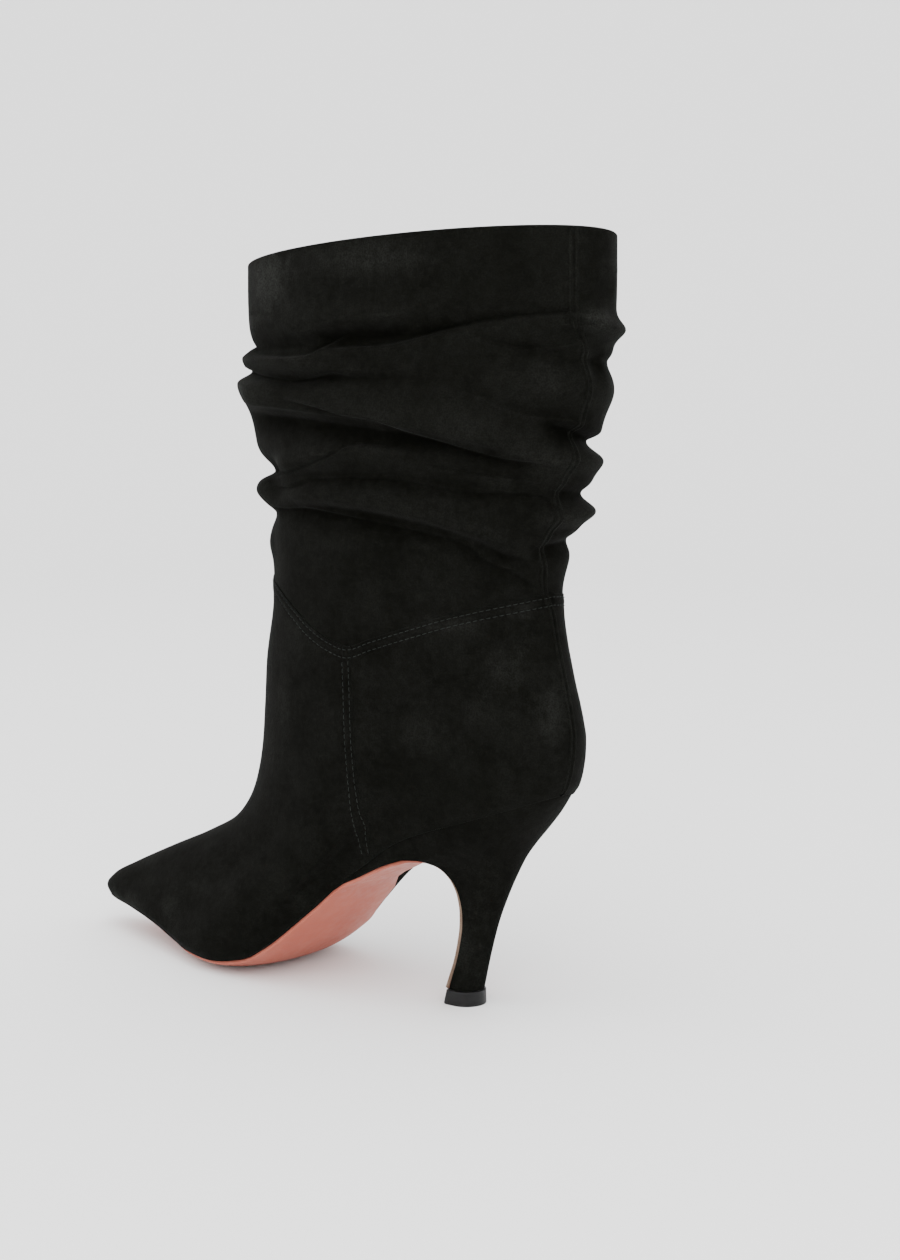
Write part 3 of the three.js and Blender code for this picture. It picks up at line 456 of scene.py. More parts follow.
def fold_relief(turn, height):
    """How far the folds push the wall out, and how far they let it hang."""
    level = (height - ANKLE_HEIGHT) / SHAFT_HEIGHT
    degrees = np.degrees(turn)
    out, hang = np.zeros_like(height), np.zeros_like(height)
    for fold in FOLDS:
        reach = (fold["end"] - fold["start"]) / 2
        away = np.mod(degrees - (fold["start"] + fold["end"]) / 2 + 180, 360) - 180
        x = away / reach
        line = (fold["middle"] + (fold["high"] - fold["low"]) / 2 * x
                + ((fold["low"] + fold["high"]) / 2 - fold["middle"]) * x * x)
        over = (level - line) * SHAFT_HEIGHT / FOLD_PITCH
        width = np.maximum(np.where(over > 0, fold["above"], fold["below"]), FINEST_FOLD)
        shape = smooth((1 - np.abs(x)) / FOLD_FADE) * np.exp(-(over / width) ** 2)
        out += fold["rise"] * FOLD_RISE * shape
        hang += fold["droop"] * FOLD_RISE * shape
    return out + crease_relief(degrees, height), hang


def crease_relief(degrees, height):
    """Sharp steps along the creases, and the knuckles beside the back seam."""
    out = np.zeros_like(height)
    for crease, line in zip(CREASES, CREASE_LINES):
        first, last = crease["degrees"][0], crease["degrees"][-1]
        at = np.mod(degrees - (first + last) / 2 + 180, 360) - 180 + (first + last) / 2
        over = height - line(at)
        held = smooth((at - first) / CREASE_FADE) * smooth((last - at) / CREASE_FADE)
        above = crease["above"] * np.exp(-(np.abs(over) / crease["above_width"]) ** 1.5)
        below = crease["below"] * np.exp(-(np.abs(over) / crease["below_width"]) ** 1.5)
        out += held * mix(below, above, smooth(over / CREASE_EDGE / 2 + 0.5))
    for knuckle in KNUCKLES:
        x = (np.mod(degrees - knuckle["degrees"] + 180, 360) - 180) / knuckle["reach_degrees"]
        y = (height - knuckle["height"]) / knuckle["reach_height"]
        out += knuckle["rise"] * np.exp(-(x * x + y * y) ** 1.5)
    return out


def plain_height(up, turn):
    share = share_of_turn(half_of(turn))
    tilt = RIM_TILT * smooth((up - ANKLE_UP) / (1 - ANKLE_UP)) * np.sin(turn)
    return mix(LOOP["back_height"](up), LOOP["front_height"](up), share) + LOOP["sag"](up) * dip(share) + tilt


def skin(up, turn, proud=0.0):
    """Points of the upper's outside, in millimetres: along, across, height."""
    turn = np.mod(np.asarray(turn, float), TURN)
    up = np.asarray(up, float) + 0 * turn
    half = half_of(turn)
    share, outer = share_of_turn(half), turn <= math.pi
    full = mix(np.where(outer, FULL["outer"](half), FULL["inner"](half)), 0.5, LOOP["round"](up))
    back, front, width = LOOP["back"](up), LOOP["front"](up), LOOP["width"](up)
    height = plain_height(up, turn)
    across = width * full * np.sin(half) * np.where(outer, 1, -1)
    out_along, out_across = -np.cos(half) / (front - back), np.sin(turn) / width
    long = np.hypot(out_along, out_across)
    started = smooth((up - FOOT_TOP) / FOLD_START)
    lift, hang = fold_relief(turn, height)
    lift = lift * started + proud
    return np.stack([mix(back, front, share) + out_along / long * lift,
                     across + out_across / long * lift, height - hang * started], -1)


top_low, top_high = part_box("top_piece")
SHIFT_X = (top_low.x + top_high.x) / 2
SHIFT_Y = top_high.y + (HEEL[-1]["back"] * LENGTH - HEEL_INSET) / 1000


def placed(points):
    """From along, across, height in millimetres to the row frame in metres."""
    points = np.asarray(points, float) / 1000
    return np.stack([points[..., 1] + SHIFT_X, SHIFT_Y - points[..., 0], points[..., 2]], -1)


def up_at(height, turn):
    """Place on the way up the upper that lies at a height."""
    height, turn = np.broadcast_arrays(np.asarray(height, float), np.asarray(turn, float))
    low, high = np.zeros(height.shape), np.ones(height.shape)
    for _ in range(HALVINGS):
        middle = (low + high) / 2
        over = plain_height(middle, turn) > height
        low, high = np.where(over, low, middle), np.where(over, middle, high)
    return (low + high) / 2


# meshes
def shown(name, data):
    """A new object in the scene."""
    made = bpy.data.objects.new(name, data)
    bpy.context.scene.collection.objects.link(made)
    return made


def aim(made, place, way):
    made.location = place
    made.rotation_euler = Vector(way).to_track_quat("-Z", "Y").to_euler()


def shell(name, vertices, faces):
    """A new object with a smooth mesh."""
    mesh = bpy.data.meshes.new(name)
    mesh.from_pydata(np.asarray(vertices).reshape(-1, 3).tolist(), [], [tuple(f) for f in faces])
    mesh.polygons.foreach_set("use_smooth", [True] * len(mesh.polygons))
    return shown(name, mesh)


def make(name, vertices, faces, materials, face_materials=None, painted_shading=None):
    """A visible piece that rides the boot's body."""
    piece = shell(name, vertices, faces)
    mesh = piece.data
    mesh.validate()
    for material in materials:
        mesh.materials.append(material)
    if face_materials:
        mesh.polygons.foreach_set("material_index", face_materials)
    # painted shading: a lift per point that the suede turns into lighter ridges and darker hollows
    if painted_shading is not None:
        mesh.attributes.new("painted_shading", "FLOAT", "POINT").data.foreach_set("value", np.ravel(painted_shading))
    mesh.update()
    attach(piece, "root")
    return piece


def grid_faces(rows, columns, closed=False, flip=False):
    r = np.arange(rows - 1)[:, None]
    c = np.arange(columns if closed else columns - 1)[None, :]
    nxt = (c + 1) % columns
    quads = np.stack([r * columns + c, r * columns + nxt, (r + 1) * columns + nxt, (r + 1) * columns + c], -1)
    quads = quads.reshape(-1, 4)
    return quads[:, ::-1] if flip else quads


def normals_of(points, closed=False):
    if closed:
        wide = np.concatenate([points[:, -1:], points, points[:, :1]], 1)
        round_way = (wide[:, 2:] - wide[:, :-2])
    else:
        round_way = np.gradient(points, axis=1)
    up_way = np.gradient(points, axis=0)
    normal = np.cross(up_way, round_way)
    return normal / np.maximum(np.linalg.norm(normal, axis=-1, keepdims=True), 1e-9)


def rolled(points, normals, side):
    """Adds the rounded cut edge of a panel along one border."""
    axis = 0 if side == "top" else 1
    last, before = (0, 1) if side == "start" else (-1, -2)
    edge, inside, normal = (np.take(array, [place], axis)
                            for array, place in ((points, last), (points, before), (normals, last)))
    way = edge - inside
    way = way / np.maximum(np.linalg.norm(way, axis=-1, keepdims=True), 1e-9)
    rings = [points, *(edge + way * out - normal * down for out, down in EDGE_ROLL)]
    facing = [normals, *[normal] * len(EDGE_ROLL)]
    if side == "start":
        rings, facing = rings[::-1], facing[::-1]
    return np.concatenate(rings, axis), np.concatenate(facing, axis)


def capped(rings, flip=False):
    """Closed body from rings, one after another."""
    points = np.stack(rings)
    rows, columns = points.shape[:2]
    faces = [tuple(f) for f in grid_faces(rows, columns, closed=True)]
    faces.append(tuple(range(columns))[::-1])
    faces.append(tuple(range((rows - 1) * columns, rows * columns)))
    return points, [f[::-1] for f in faces] if flip else faces


def crowded(places, ends=0.75):
    """Places from 0 to 1 that crowd towards both ends."""
    t = np.linspace(0, 1, places)
    return t - ends * np.sin(TURN * t) / TURN


# finishes
def fill(tree, socket, value):
    """Sets an input, or joins it to the output of another node."""
    if isinstance(value, bpy.types.NodeSocket):
        tree.links.new(value, socket)
    else:
        socket.default_value = value


def node(tree, kind, *inputs, **named):
    """A new node, with its settings and inputs by name and its first inputs in order."""
    made = tree.nodes.new(kind)
    for key, value in named.items():
        name = key.replace("_", " ")
        if name in made.inputs:
            fill(tree, made.inputs[name], value)
        else:
            setattr(made, key, value)
    for socket, value in zip(made.inputs, inputs):
        fill(tree, socket, value)
    return made


def group(name, inputs, outputs):
    tree = bpy.data.node_groups.new(name, "ShaderNodeTree")
    for label, kind, value in inputs:
        socket = tree.interface.new_socket(label, in_out="INPUT", socket_type=kind)
        socket.default_value = value
    for label, kind in outputs:
        tree.interface.new_socket(label, in_out="OUTPUT", socket_type=kind)
    return tree, tree.nodes.new("NodeGroupInput"), tree.nodes.new("NodeGroupOutput")


def cloudy_group():
    """Soft cloudy tone with a finer grain over it, measured in the boot's own metres."""
    tree, into, out = group(
        "Cloudy Tone",
        [("Patch Scale", "NodeSocketFloat", 60.0), ("Mottle Scale", "NodeSocketFloat", 330.0),
         ("Grain Scale", "NodeSocketFloat", 1700.0)],
        [("Patches", "NodeSocketFloat"), ("Mottle", "NodeSocketFloat"), ("Grain", "NodeSocketFloat")],
    )
    where = node(tree, "ShaderNodeTexCoord").outputs["Object"]
    for label, detail in (("Patch", 3.0), ("Mottle", 2.0), ("Grain", 2.0)):
        noise = node(tree, "ShaderNodeTexNoise", Vector=where, Scale=into.outputs[label + " Scale"],
                     Detail=detail, Roughness=0.55)
        spread = node(tree, "ShaderNodeMapRange", interpolation_type="SMOOTHSTEP",
                      Value=noise.outputs["Fac"], From_Min=0.32, From_Max=0.68)
        tree.links.new(spread.outputs["Result"], out.inputs["Patches" if label == "Patch" else label])
    return tree


def brushed_group():
    """A soft spot where the nap is brushed lighter, given by its centre and reach."""
    tree, into, out = group(
        "Brushed Spot",
        [("Centre", "NodeSocketVector", (0, 0, 0)), ("Reach", "NodeSocketVector", (0.02, 0.02, 0.02))],
        [("Mask", "NodeSocketFloat")],
    )
    where = node(tree, "ShaderNodeTexCoord").outputs["Object"]
    away = node(tree, "ShaderNodeVectorMath", where, into.outputs["Centre"], operation="SUBTRACT")
    away = node(tree, "ShaderNodeVectorMath", away.outputs["Vector"], into.outputs["Reach"],
                operation="DIVIDE")
    away = node(tree, "ShaderNodeVectorMath", away.outputs["Vector"], operation="LENGTH")
    ragged = node(tree, "ShaderNodeTexNoise", Vector=where, Scale=260.0, Detail=4.0)
    wobble = math_node(tree, "MULTIPLY_ADD", ragged.outputs["Fac"], RAGGED, away.outputs["Value"])
    fall = node(tree, "ShaderNodeMapRange", interpolation_type="SMOOTHSTEP", Value=wobble,
                From_Min=1.75, From_Max=0.55)
    tree.links.new(fall.outputs["Result"], out.inputs["Mask"])
    return tree


def principled(name, **values):
    material = bpy.data.materials.new(name)
    material.use_nodes = True
    tree = material.node_tree
    shader = tree.nodes["Principled BSDF"]
    for key, value in values.items():
        shader.inputs[key.replace("_", " ")].default_value = value
    return material, tree, shader


def math_node(tree, operation, *values):
    return node(tree, "ShaderNodeMath", *values, operation=operation).outputs["Value"]


def colour_mix(tree, share, low, high):
    made = node(tree, "ShaderNodeMix", share, data_type="RGBA")
    made.inputs[6].default_value, made.inputs[7].default_value = (*low, 1), (*high, 1)
    return made.outputs[2]


def bumped(tree, shader, height, strength, distance):
    bump = node(tree, "ShaderNodeBump", Height=height, Strength=strength, Distance=distance)
    tree.links.new(bump.outputs["Normal"], shader.inputs["Normal"])


RAGGED = 1.3
CLOUDS = cloudy_group()
BRUSHED = brushed_group()

# Brushed spots on the suede: place and reach in millimetres, and how light they are
SPOTS = table(
    "along across height reach_along reach_across reach_height light",
    (2, 8, 117, 8, 8, 17, 0.5),
    (17, 19, 132, 13, 12, 12, 0.4),
    (47, 29, 108, 17, 12, 10, 0.38),
    (21, 23, 116, 13, 12, 9, 0.35),
    (33, 27, 149, 20, 14, 4.5, 0.5),
    (12, 11, 155, 9, 9, 4, 0.35),
    (116, 28, 116, 7, 12, 19, 0.5),
    (106, 32, 138, 9, 9, 9, 0.35),
    (130, 23, 88, 8, 12, 12, 0.2),
    (244, 3, 17, 7, 7, 8, 0.9),
    (233, 10, 13, 12, 8, 6, 1.2),
    (217, 16, 15, 14, 8, 6, 0.85),
    (46, 6, 22, 10, 10, 18, 0.55),
    (187, 25, 20, 10, 10, 9, 0.45),
    (167, 26, 32, 14, 10, 8, 0.35),
    (212, 9, 33, 14, 9, 5, 0.35),
    (116, 34, 274, 24, 18, 18, 1.35),
    (66, 43, 281, 40, 12, 9, 0.65),
    (-15, 6, 259, 8, 8, 5, 0.9),
    (8, -20, 118, 10, 12, 14, 0.5),
    (60, -30, 110, 16, 14, 10, 0.4),
    (204, -14, 26, 18, 12, 8, 0.5),
    (100, -38, 268, 26, 14, 14, 0.4),
)
SUEDE_DARK = (0.0023, 0.0024, 0.0018)
SUEDE_LIGHT = (0.0155, 0.0163, 0.0145)
SUEDE_SHEEN = 0.032
# how much each effect lightens the suede; the last paints shade into fold valleys and a highlight onto fold
# ridges and seam lips
PLAIN_TONE, PATCH_TONE, MOTTLE_TONE, SPOT_TONE, PAINTED_SHADING_TONE = 0.06, 0.1, 0.08, 0.45, 0.045
GRAIN_LOW, GRAIN_TONE = 0.45, 1.1


def cloudy(tree):
    return node(tree, "ShaderNodeGroup", node_tree=CLOUDS).outputs


def suede(name, painted_shading=False):
    material, tree, shader = principled(name, Roughness=0.95, Specular_IOR_Level=0.0,
                                        Sheen_Weight=SUEDE_SHEEN, Sheen_Roughness=0.35)
    clouds = cloudy(tree)
    tone = math_node(tree, "MULTIPLY_ADD", clouds["Patches"], PATCH_TONE, PLAIN_TONE)
    tone = math_node(tree, "MULTIPLY_ADD", clouds["Mottle"], MOTTLE_TONE, tone)
    for spot in SPOTS:
        centre = placed([[spot["along"], spot["across"], spot["height"]]])[0].tolist()
        reach = [spot["reach_" + way] / 1000 for way in ("across", "along", "height")]
        mark = node(tree, "ShaderNodeGroup", node_tree=BRUSHED, Centre=centre, Reach=reach)
        tone = math_node(tree, "MULTIPLY_ADD", mark.outputs["Mask"], spot["light"] * SPOT_TONE, tone)
    # painted shading: darker in the fold valleys where shade falls, lighter on the fold ridges and seam lips
    if painted_shading:
        lift = node(tree, "ShaderNodeAttribute", attribute_name="painted_shading")
        tone = math_node(tree, "MULTIPLY_ADD", lift.outputs["Fac"], PAINTED_SHADING_TONE, tone)
    grain = math_node(tree, "MULTIPLY_ADD", clouds["Grain"], GRAIN_TONE, GRAIN_LOW)
    tone = math_node(tree, "MULTIPLY", tone, grain)
    tree.links.new(colour_mix(tree, tone, SUEDE_DARK, SUEDE_LIGHT), shader.inputs["Base Color"])
    nap = math_node(tree, "MULTIPLY_ADD", clouds["Mottle"], 0.8, clouds["Grain"])
    bumped(tree, shader, nap, 0.28, 0.0002)
    return material


shaft_suede = suede("black_suede_shaft", painted_shading=True)
foot_suede = suede("black_suede_foot")
heel_suede = suede("black_suede_heel")


def leather(name, dark, light, gloss, bump, shine=0.35):
    material, tree, shader = principled(name, Roughness=gloss, Specular_IOR_Level=shine)
    clouds = cloudy(tree)
    tone = math_node(tree, "ADD", math_node(tree, "MULTIPLY", clouds["Patches"], 0.6),
                     math_node(tree, "MULTIPLY", clouds["Mottle"], 0.4))
    tree.links.new(colour_mix(tree, tone, dark, light), shader.inputs["Base Color"])
    rough = node(tree, "ShaderNodeMapRange", Value=clouds["Mottle"], To_Min=gloss - 0.05, To_Max=gloss + 0.08)
    tree.links.new(rough.outputs["Result"], shader.inputs["Roughness"])
    bumped(tree, shader, clouds["Grain"], bump, 0.00012)
    return material


coral = leather("coral_sole_leather", (0.33, 0.088, 0.06), (0.38, 0.115, 0.08), 0.45, 0.12, 0.1)
raw_edge = leather("raw_sole_edge", (0.1, 0.068, 0.048), (0.17, 0.12, 0.088), 0.8, 0.3, 0.1)
lining_leather = leather("black_lining_leather", (0.010, 0.0095, 0.009), (0.017, 0.016, 0.015), 0.6, 0.3)
tip_plastic = leather("black_top_piece", (0.006, 0.006, 0.0062), (0.011, 0.011, 0.0112), 0.4, 0.1, 0.16)
thread = leather("dark_thread", (0.008, 0.0094, 0.0084), (0.0135, 0.0152, 0.014), 0.8, 0.3, 0.1)

# seams
yoke = curve(YOKE, "degrees", "height")


def yoke_height(turn):
    return yoke(np.degrees(np.mod(turn, TURN)))


seam_turn_of, seam_width_of = curves(SEAM, "up").values()
side_along = curve(SIDE_SEAM, "height", "along")


def side_turn(up, side, offset=0.0):
    """Turn of the side seam at a place up the upper. offset: millimetres towards the toe."""
    up = np.asarray(up, float)
    turn = np.full(up.shape, math.pi / 2)
    for _ in range(SETTLING):
        back, front = LOOP["back"](up), LOOP["front"](up)
        along = side_along(plain_height(up, turn)) + offset
        turn = np.arccos(np.clip(1 - 2 * (along - back) / (front - back), -1, 1))
    return turn if side == "outer" else TURN - turn


turns = np.linspace(0, TURN, 721)
lower_top = up_at(yoke_height(turns) + EDGE_PAST, turns)
shaft_foot = up_at(yoke_height(turns) - SHAFT_UNDER, turns)


def groove(distance, middle):
    """Line pressed in by a row of stitches."""
    return -GROOVE_DEPTH * np.exp(-((distance - middle) / GROOVE_WIDTH) ** 2)


def puff(distance, high):
    return high * np.exp(-(distance / PUFF_WIDTH) ** 2)


def yoke_relief(height, turn):
    """Stitched rows sunk a little along the yoke seam, and the puff between them."""
    over = height - yoke_height(turn)
    return groove(over, 0) + groove(over, -ROW_GAP) + puff(over + ROW_GAP / 2, YOKE_PUFF)


def lasting_edge(turn):
    from_seat = mix(SEAT, TOE, share_of_turn(half_of(turn)))
    along = np.clip(from_seat, SEAT + LASTING, TOE - TOE_RADIUS - LASTING)
    outer = turn <= math.pi
    width = either_width(from_seat, outer)
    across = np.maximum(width - LASTING, width * LASTING_END) * np.where(outer, 1, -1)
    return np.stack([along, across, feather_height(along)], -1)


def lower_panel(name, start, end, columns, edges, proud):
    """A panel of the foot, from under the feather line up to the yoke seam."""
    share = crowded(columns)[None, :]
    climb_share = crowded(count(170), 0.7)[:, None]
    up = climb_share * 0.4 + 0 * share
    for _ in range(SETTLING - 2):
        turn = mix(start(up), end(up), share)
        up = climb_share * np.interp(np.mod(turn, TURN), turns, lower_top)
    height = skin(up, turn)[..., 2]
    points = skin(up, turn, proud(up, turn) + yoke_relief(height, turn))
    under = lasting_edge(turn[0])
    low = [under, mix(under, points[0], 0.5), mix(under, points[0], 0.9) - [0, 0, 0.05]]
    points = np.concatenate([np.stack(low), points], 0)
    normals = normals_of(points)
    for side in edges:
        points, normals = rolled(points, normals, side)
    return make(name, placed(points), grid_faces(*points.shape[:2], flip=True), [foot_suede])


def span_of(up, turn, side):
    """Millimetres from the side seam's middle, towards the toe."""
    middle = half_of(side_turn(up, side))
    reach = (LOOP["front"](up) - LOOP["back"](up)) / 2
    return (half_of(turn) - middle) * reach * np.sin(np.clip(middle, 0.3, 2.8))


def side_relief(up, turn):
    """Stitched rows sunk along the side seams, and the puff between them."""
    total = 0
    for side, facing in (("outer", turn <= math.pi), ("inner", turn > math.pi)):
        away = span_of(up, turn, side)
        pressed = groove(away, ROW_GAP / 2) + groove(away, -ROW_GAP / 2) + puff(away, SIDE_PUFF)
        total = total + np.where(facing, pressed, 0)
    return total


def vamp_proud(up, turn):
    """The vamp lies over the quarters, so it stands prouder beside its seams."""
    near = np.minimum(np.abs(span_of(up, turn, "outer")), np.abs(span_of(up, turn, "inner")))
    return LOWER_PROUD + VAMP_PROUD * np.exp(-(near / VAMP_FADE) ** 2)


def vamp_face(up, turn):
    return vamp_proud(up, turn) + side_relief(up, turn)


def quarter_face(up, turn):
    return np.full(np.broadcast(up, turn).shape, LOWER_PROUD)


def beside_seam(side, offset):
    return lambda up: side_turn(up, side, offset)


def beside_back(turn):
    return lambda up: np.full(up.shape, turn)


lower_panel("vamp", beside_seam("outer", -PAST), beside_seam("inner", -PAST), count(250),
            ("top", "start", "end"), vamp_face)
lower_panel("quarter_outer", beside_back(BACK_GAP), beside_seam("outer", -QUARTER_PAST), count(130),
            ("top",), quarter_face)
lower_panel("quarter_inner", beside_seam("inner", -QUARTER_PAST), beside_back(TURN - BACK_GAP), count(130),
            ("top",), quarter_face)


def shaft_piece():
    columns, rows = count(340), count(274)
    turn = np.linspace(0, TURN, columns, endpoint=False)[None, :]
    low = np.interp(turn, turns, shaft_foot)
    up = mix(low, RIM_UP, np.linspace(0, 1, rows)[:, None])
    points = skin(up, turn)
    # the folds' lift is kept to paint shade into their valleys and a highlight onto their ridges
    painted_shading, _ = fold_relief(turn + 0 * up, plain_height(up, turn + 0 * up))
    rim, out = points[-1], normals_of(points, closed=True)[-1] * [1, 1, 0]
    out = out / np.linalg.norm(out, axis=-1, keepdims=True)
    half = WALL / 2
    rolls = [rim - out * half * (1 - math.cos(a)) + [[0, 0, half * math.sin(a)]]
             for a in np.linspace(0.3, math.pi, 8)]
    facing = [skin(u, turn[0], -WALL) for u in np.linspace(RIM_UP, FACING_UP, 8)[1:]]
    points = np.concatenate([points, np.stack(rolls), np.stack(facing)], 0)
    painted_shading = np.concatenate([painted_shading, np.zeros((len(rolls) + len(facing), columns))], 0)
    faces = grid_faces(*points.shape[:2], closed=True, flip=True)
    return make("shaft", placed(points), faces, [shaft_suede], painted_shading=painted_shading)


shaft = shaft_piece()
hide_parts("upper")


def lining_piece():
    turn = np.linspace(0, TURN, count(150), endpoint=False)[None, :]
    up = np.concatenate([np.linspace(0, 0.36, count(40)), np.linspace(0.37, 0.93, count(100))])[:, None]
    points = skin(up + 0 * turn, turn + 0 * up, -WALL - 0.05)
    points[0, :, 2] += WALL
    faces = grid_faces(*points.shape[:2], closed=True)
    return make("lining", placed(points), faces, [lining_leather])


lining_piece()


# Cross section of the narrow back seam: two lips beside a groove, as share of the half width and lift
SEAM_LIPS = table(
    "across lift",
    (-1.0, -0.3), (-0.95, 0.05), (-0.8, 0.3), (-0.6, 0.42), (-0.4, 0.38), (-0.24, 0.1), (-0.12, -0.3),
    (0.12, -0.3), (0.24, 0.1), (0.4, 0.38), (0.6, 0.42), (0.8, 0.3), (0.95, 0.05), (1.0, -0.3),
)


def strap_piece():
    up = np.linspace(0.004, RIM_UP, count(330))[:, None]
    across = np.array([[lip["across"] for lip in SEAM_LIPS]])
    lift = np.array([[lip["lift"] for lip in SEAM_LIPS]])
    half = STRAP_WIDTH / 2 * seam_width_of(up)
    reach = LOOP["width"](up) * mix(FULL["outer"](0.0), 0.5, LOOP["round"](up))
    turn = np.radians(seam_turn_of(up)) + np.arcsin(across * half / reach)
    low = smooth((yoke_height(0.0) + EDGE_PAST - plain_height(up, turn)) / 1.5)
    points = skin(up + 0 * turn, turn, LOWER_PROUD * low + STRAP_LIFT * lift)
    faces = grid_faces(*points.shape[:2], flip=True)
    # painted highlight: the raised lips of the back seam are painted lighter
    tone = PAINTED_SEAM_HIGHLIGHT * np.maximum(lift, 0) + 0 * turn
    return make("back_strap", placed(points), faces, [shaft_suede], painted_shading=tone)


strap = strap_piece()
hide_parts("back_strip")


# stitches
def stitch_row(points, out):
    """Ends and facing of the stitches along a line."""
    step = np.linalg.norm(np.diff(points, axis=0), axis=1)
    gone = np.r_[0, np.cumsum(step)]

    def at(line, place):
        return np.array([np.interp(place, gone, line[:, k]) for k in range(3)])

    bodies = []
    for i in range(int(gone[-1] / STITCH_PITCH)):
        begin, stop = [(i + 0.5 + half * STITCH_LENGTH) * STITCH_PITCH for half in (-0.5, 0.5)]
        face = at(out, (begin + stop) / 2)
        bodies.append((at(points, begin), at(points, stop), face / np.linalg.norm(face)))
    return bodies


def stitches(name, rows):
    vertices, faces = [], []
    sides, last = STITCH_SIDES, (len(STITCH_RINGS) - 1) * STITCH_SIDES
    for a, b, face in [body for row in rows for body in row]:
        way = (b - a) / np.linalg.norm(b - a)
        side = np.cross(way, face)
        side /= np.linalg.norm(side)
        face = np.cross(side, way)
        first = len(vertices)
        for at, thick, lift in STITCH_RINGS:
            centre = mix(a, b, at) + face * lift
            for k in range(sides):
                angle = TURN * k / sides
                spoke = side * math.cos(angle) + face * math.sin(angle)
                vertices.append(centre + STITCH_RADIUS * thick * spoke)
        for low in range(first, first + last, sides):
            for k in range(sides):
                nxt = (k + 1) % sides
                faces.append((low + k, low + sides + k, low + sides + nxt, low + nxt))
        faces.append(tuple(first + k for k in range(sides)))
        faces.append(tuple(first + last + k for k in range(sides))[::-1])
    return make(name, placed(vertices), faces, [thread])


def along_skin(up, turn, proud):
    points = skin(up, turn, proud)
    return points, skin(up, turn, proud + 1) - points


def yoke_row(down):
    """Stitches right round the boot, lifted a little where they cross the back seam."""
    turn = np.radians(np.linspace(0, 360, 740))
    up = up_at(yoke_height(turn) - down, turn)
    is_vamp = (turn > side_turn(up, "outer", -PAST)) & (turn < side_turn(up, "inner", -PAST))
    from_seam = np.mod(turn - np.radians(seam_turn_of(up)) + math.pi, TURN) - math.pi
    proud = np.where(is_vamp, vamp_proud(up, turn), LOWER_PROUD)
    proud = proud + SEAM_HOP * (np.abs(from_seam) < math.radians(SEAM_REACH))
    return stitch_row(*along_skin(up, turn, proud + STITCH_PROUD))


def side_row(side, offset):
    beside = side_turn(np.array([0.3]), side)
    top = up_at(yoke_height(beside) - ROW_GAP - 1, beside)[0]
    up = np.linspace(top, STITCH_END, 260)
    return stitch_row(*along_skin(up, side_turn(up, side, offset), LOWER_PROUD + VAMP_PROUD + STITCH_PROUD))


stitches("yoke_stitches", [yoke_row(down) for down in (0.0, ROW_GAP)])
for side in ("outer", "inner"):
    stitches("side_stitches_" + side, [side_row(side, offset) for offset in (-ROW_GAP / 2, ROW_GAP / 2)])

# sole
HEEL_FOOT = TOP_PIECE_HEIGHT + CLEARANCE
tread = curves(SOLE, "at")
sole_from, sole_join = TOE - SOLE_INSET, SOLE[0]["at"] * LENGTH


def sole_path():
    rows = []
    for i in range(TREAD_STATIONS):
        along = mix(sole_from, sole_join, (i / TREAD_STATIONS) ** 1.2)
        at = along / LENGTH
        wide = {side: feather_width(along, side) for side in FULL}
        sides = {side: wide[side] - min(SOLE_INSET * tread[side](at), wide[side] / 2) for side in FULL}
        rows.append(dict(sides, along=along, height=float(feather_height(along)) - CLEARANCE,
                         edge=SOLE_EDGE * tread["edge"](at), crown=SOLE_CROWN * tread["crown"](at)))
    line = curves(BREAST)
    for place in np.linspace(0, len(BREAST) - 1, BREAST_STATIONS):
        thin = min(place / FLAP_FROM, 1)
        sides = {side: line[side](place) * BALL_WIDTH for side in FULL}
        rows.append(dict(sides, along=line["at"](place) * LENGTH,
                         height=mix(HEEL_FOOT, HEEL_HEIGHT, line["height"](place)),
                         edge=mix(SOLE_EDGE * SOLE[0]["edge"], FLAP_THICKNESS, thin),
                         crown=SOLE_CROWN * SOLE[0]["crown"] * (1 - thin)))
    return [{key: float(value) for key, value in row.items()} for row in rows]


PATH = sole_path()
PATH_ALONG = np.array([row["along"] for row in PATH])
PATH_HEIGHT = np.array([row["height"] for row in PATH])
PATH_WAY = np.stack([np.gradient(PATH_ALONG), np.gradient(PATH_HEIGHT)], -1)
PATH_WAY /= np.linalg.norm(PATH_WAY, axis=1, keepdims=True)


def sole_ring(i, across, depth):
    place, way = PATH[i], PATH_WAY[i]
    height = place["height"] + way[0] * depth
    return np.stack([place["along"] - way[1] * depth, across, np.maximum(height, 0)], -1)


def sole_ring_points(i):
    """One cross section of the sole: rounded edges, crowned tread and flat top."""
    place = PATH[i]
    under = np.cos(np.linspace(0, math.pi, 27)[1:-1])
    bent = np.sign(under) * np.abs(under) ** SOLE_SPREAD
    edge, crown, outer, inner = (place[key] for key in ("edge", "crown", "outer", "inner"))
    corner = min(0.25, edge / 4)
    across = np.concatenate([[outer - 0.2, outer, outer, outer - corner * 0.4],
                             bent * np.where(bent > 0, outer, inner),
                             [corner * 0.4 - inner, -inner, -inner, 0.2 - inner, 0]])
    depth = np.concatenate([[0.02, 0.1, edge - corner, edge - 0.04], edge + crown * (1 - under * under),
                            [edge - 0.04, edge - corner, 0.1, 0.02, 0.02]])
    return sole_ring(i, across, depth)


def sole_piece():
    points, faces = capped([sole_ring_points(i) for i in range(len(PATH))])
    columns = points.shape[1]
    column = np.tile(np.arange(columns), len(PATH) - 1)
    station = np.repeat(np.arange(len(PATH) - 1), columns)
    is_edge = (column <= 2) | ((column >= columns - 5) & (column <= columns - 2))
    kinds = np.where(is_edge & (station >= TREAD_STATIONS + FLAP_STATION), 1, 0)
    return make("sole", placed(points), faces, [coral, raw_edge], face_materials=[*kinds, 0, 0])


sole = sole_piece()
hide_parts("outsole")


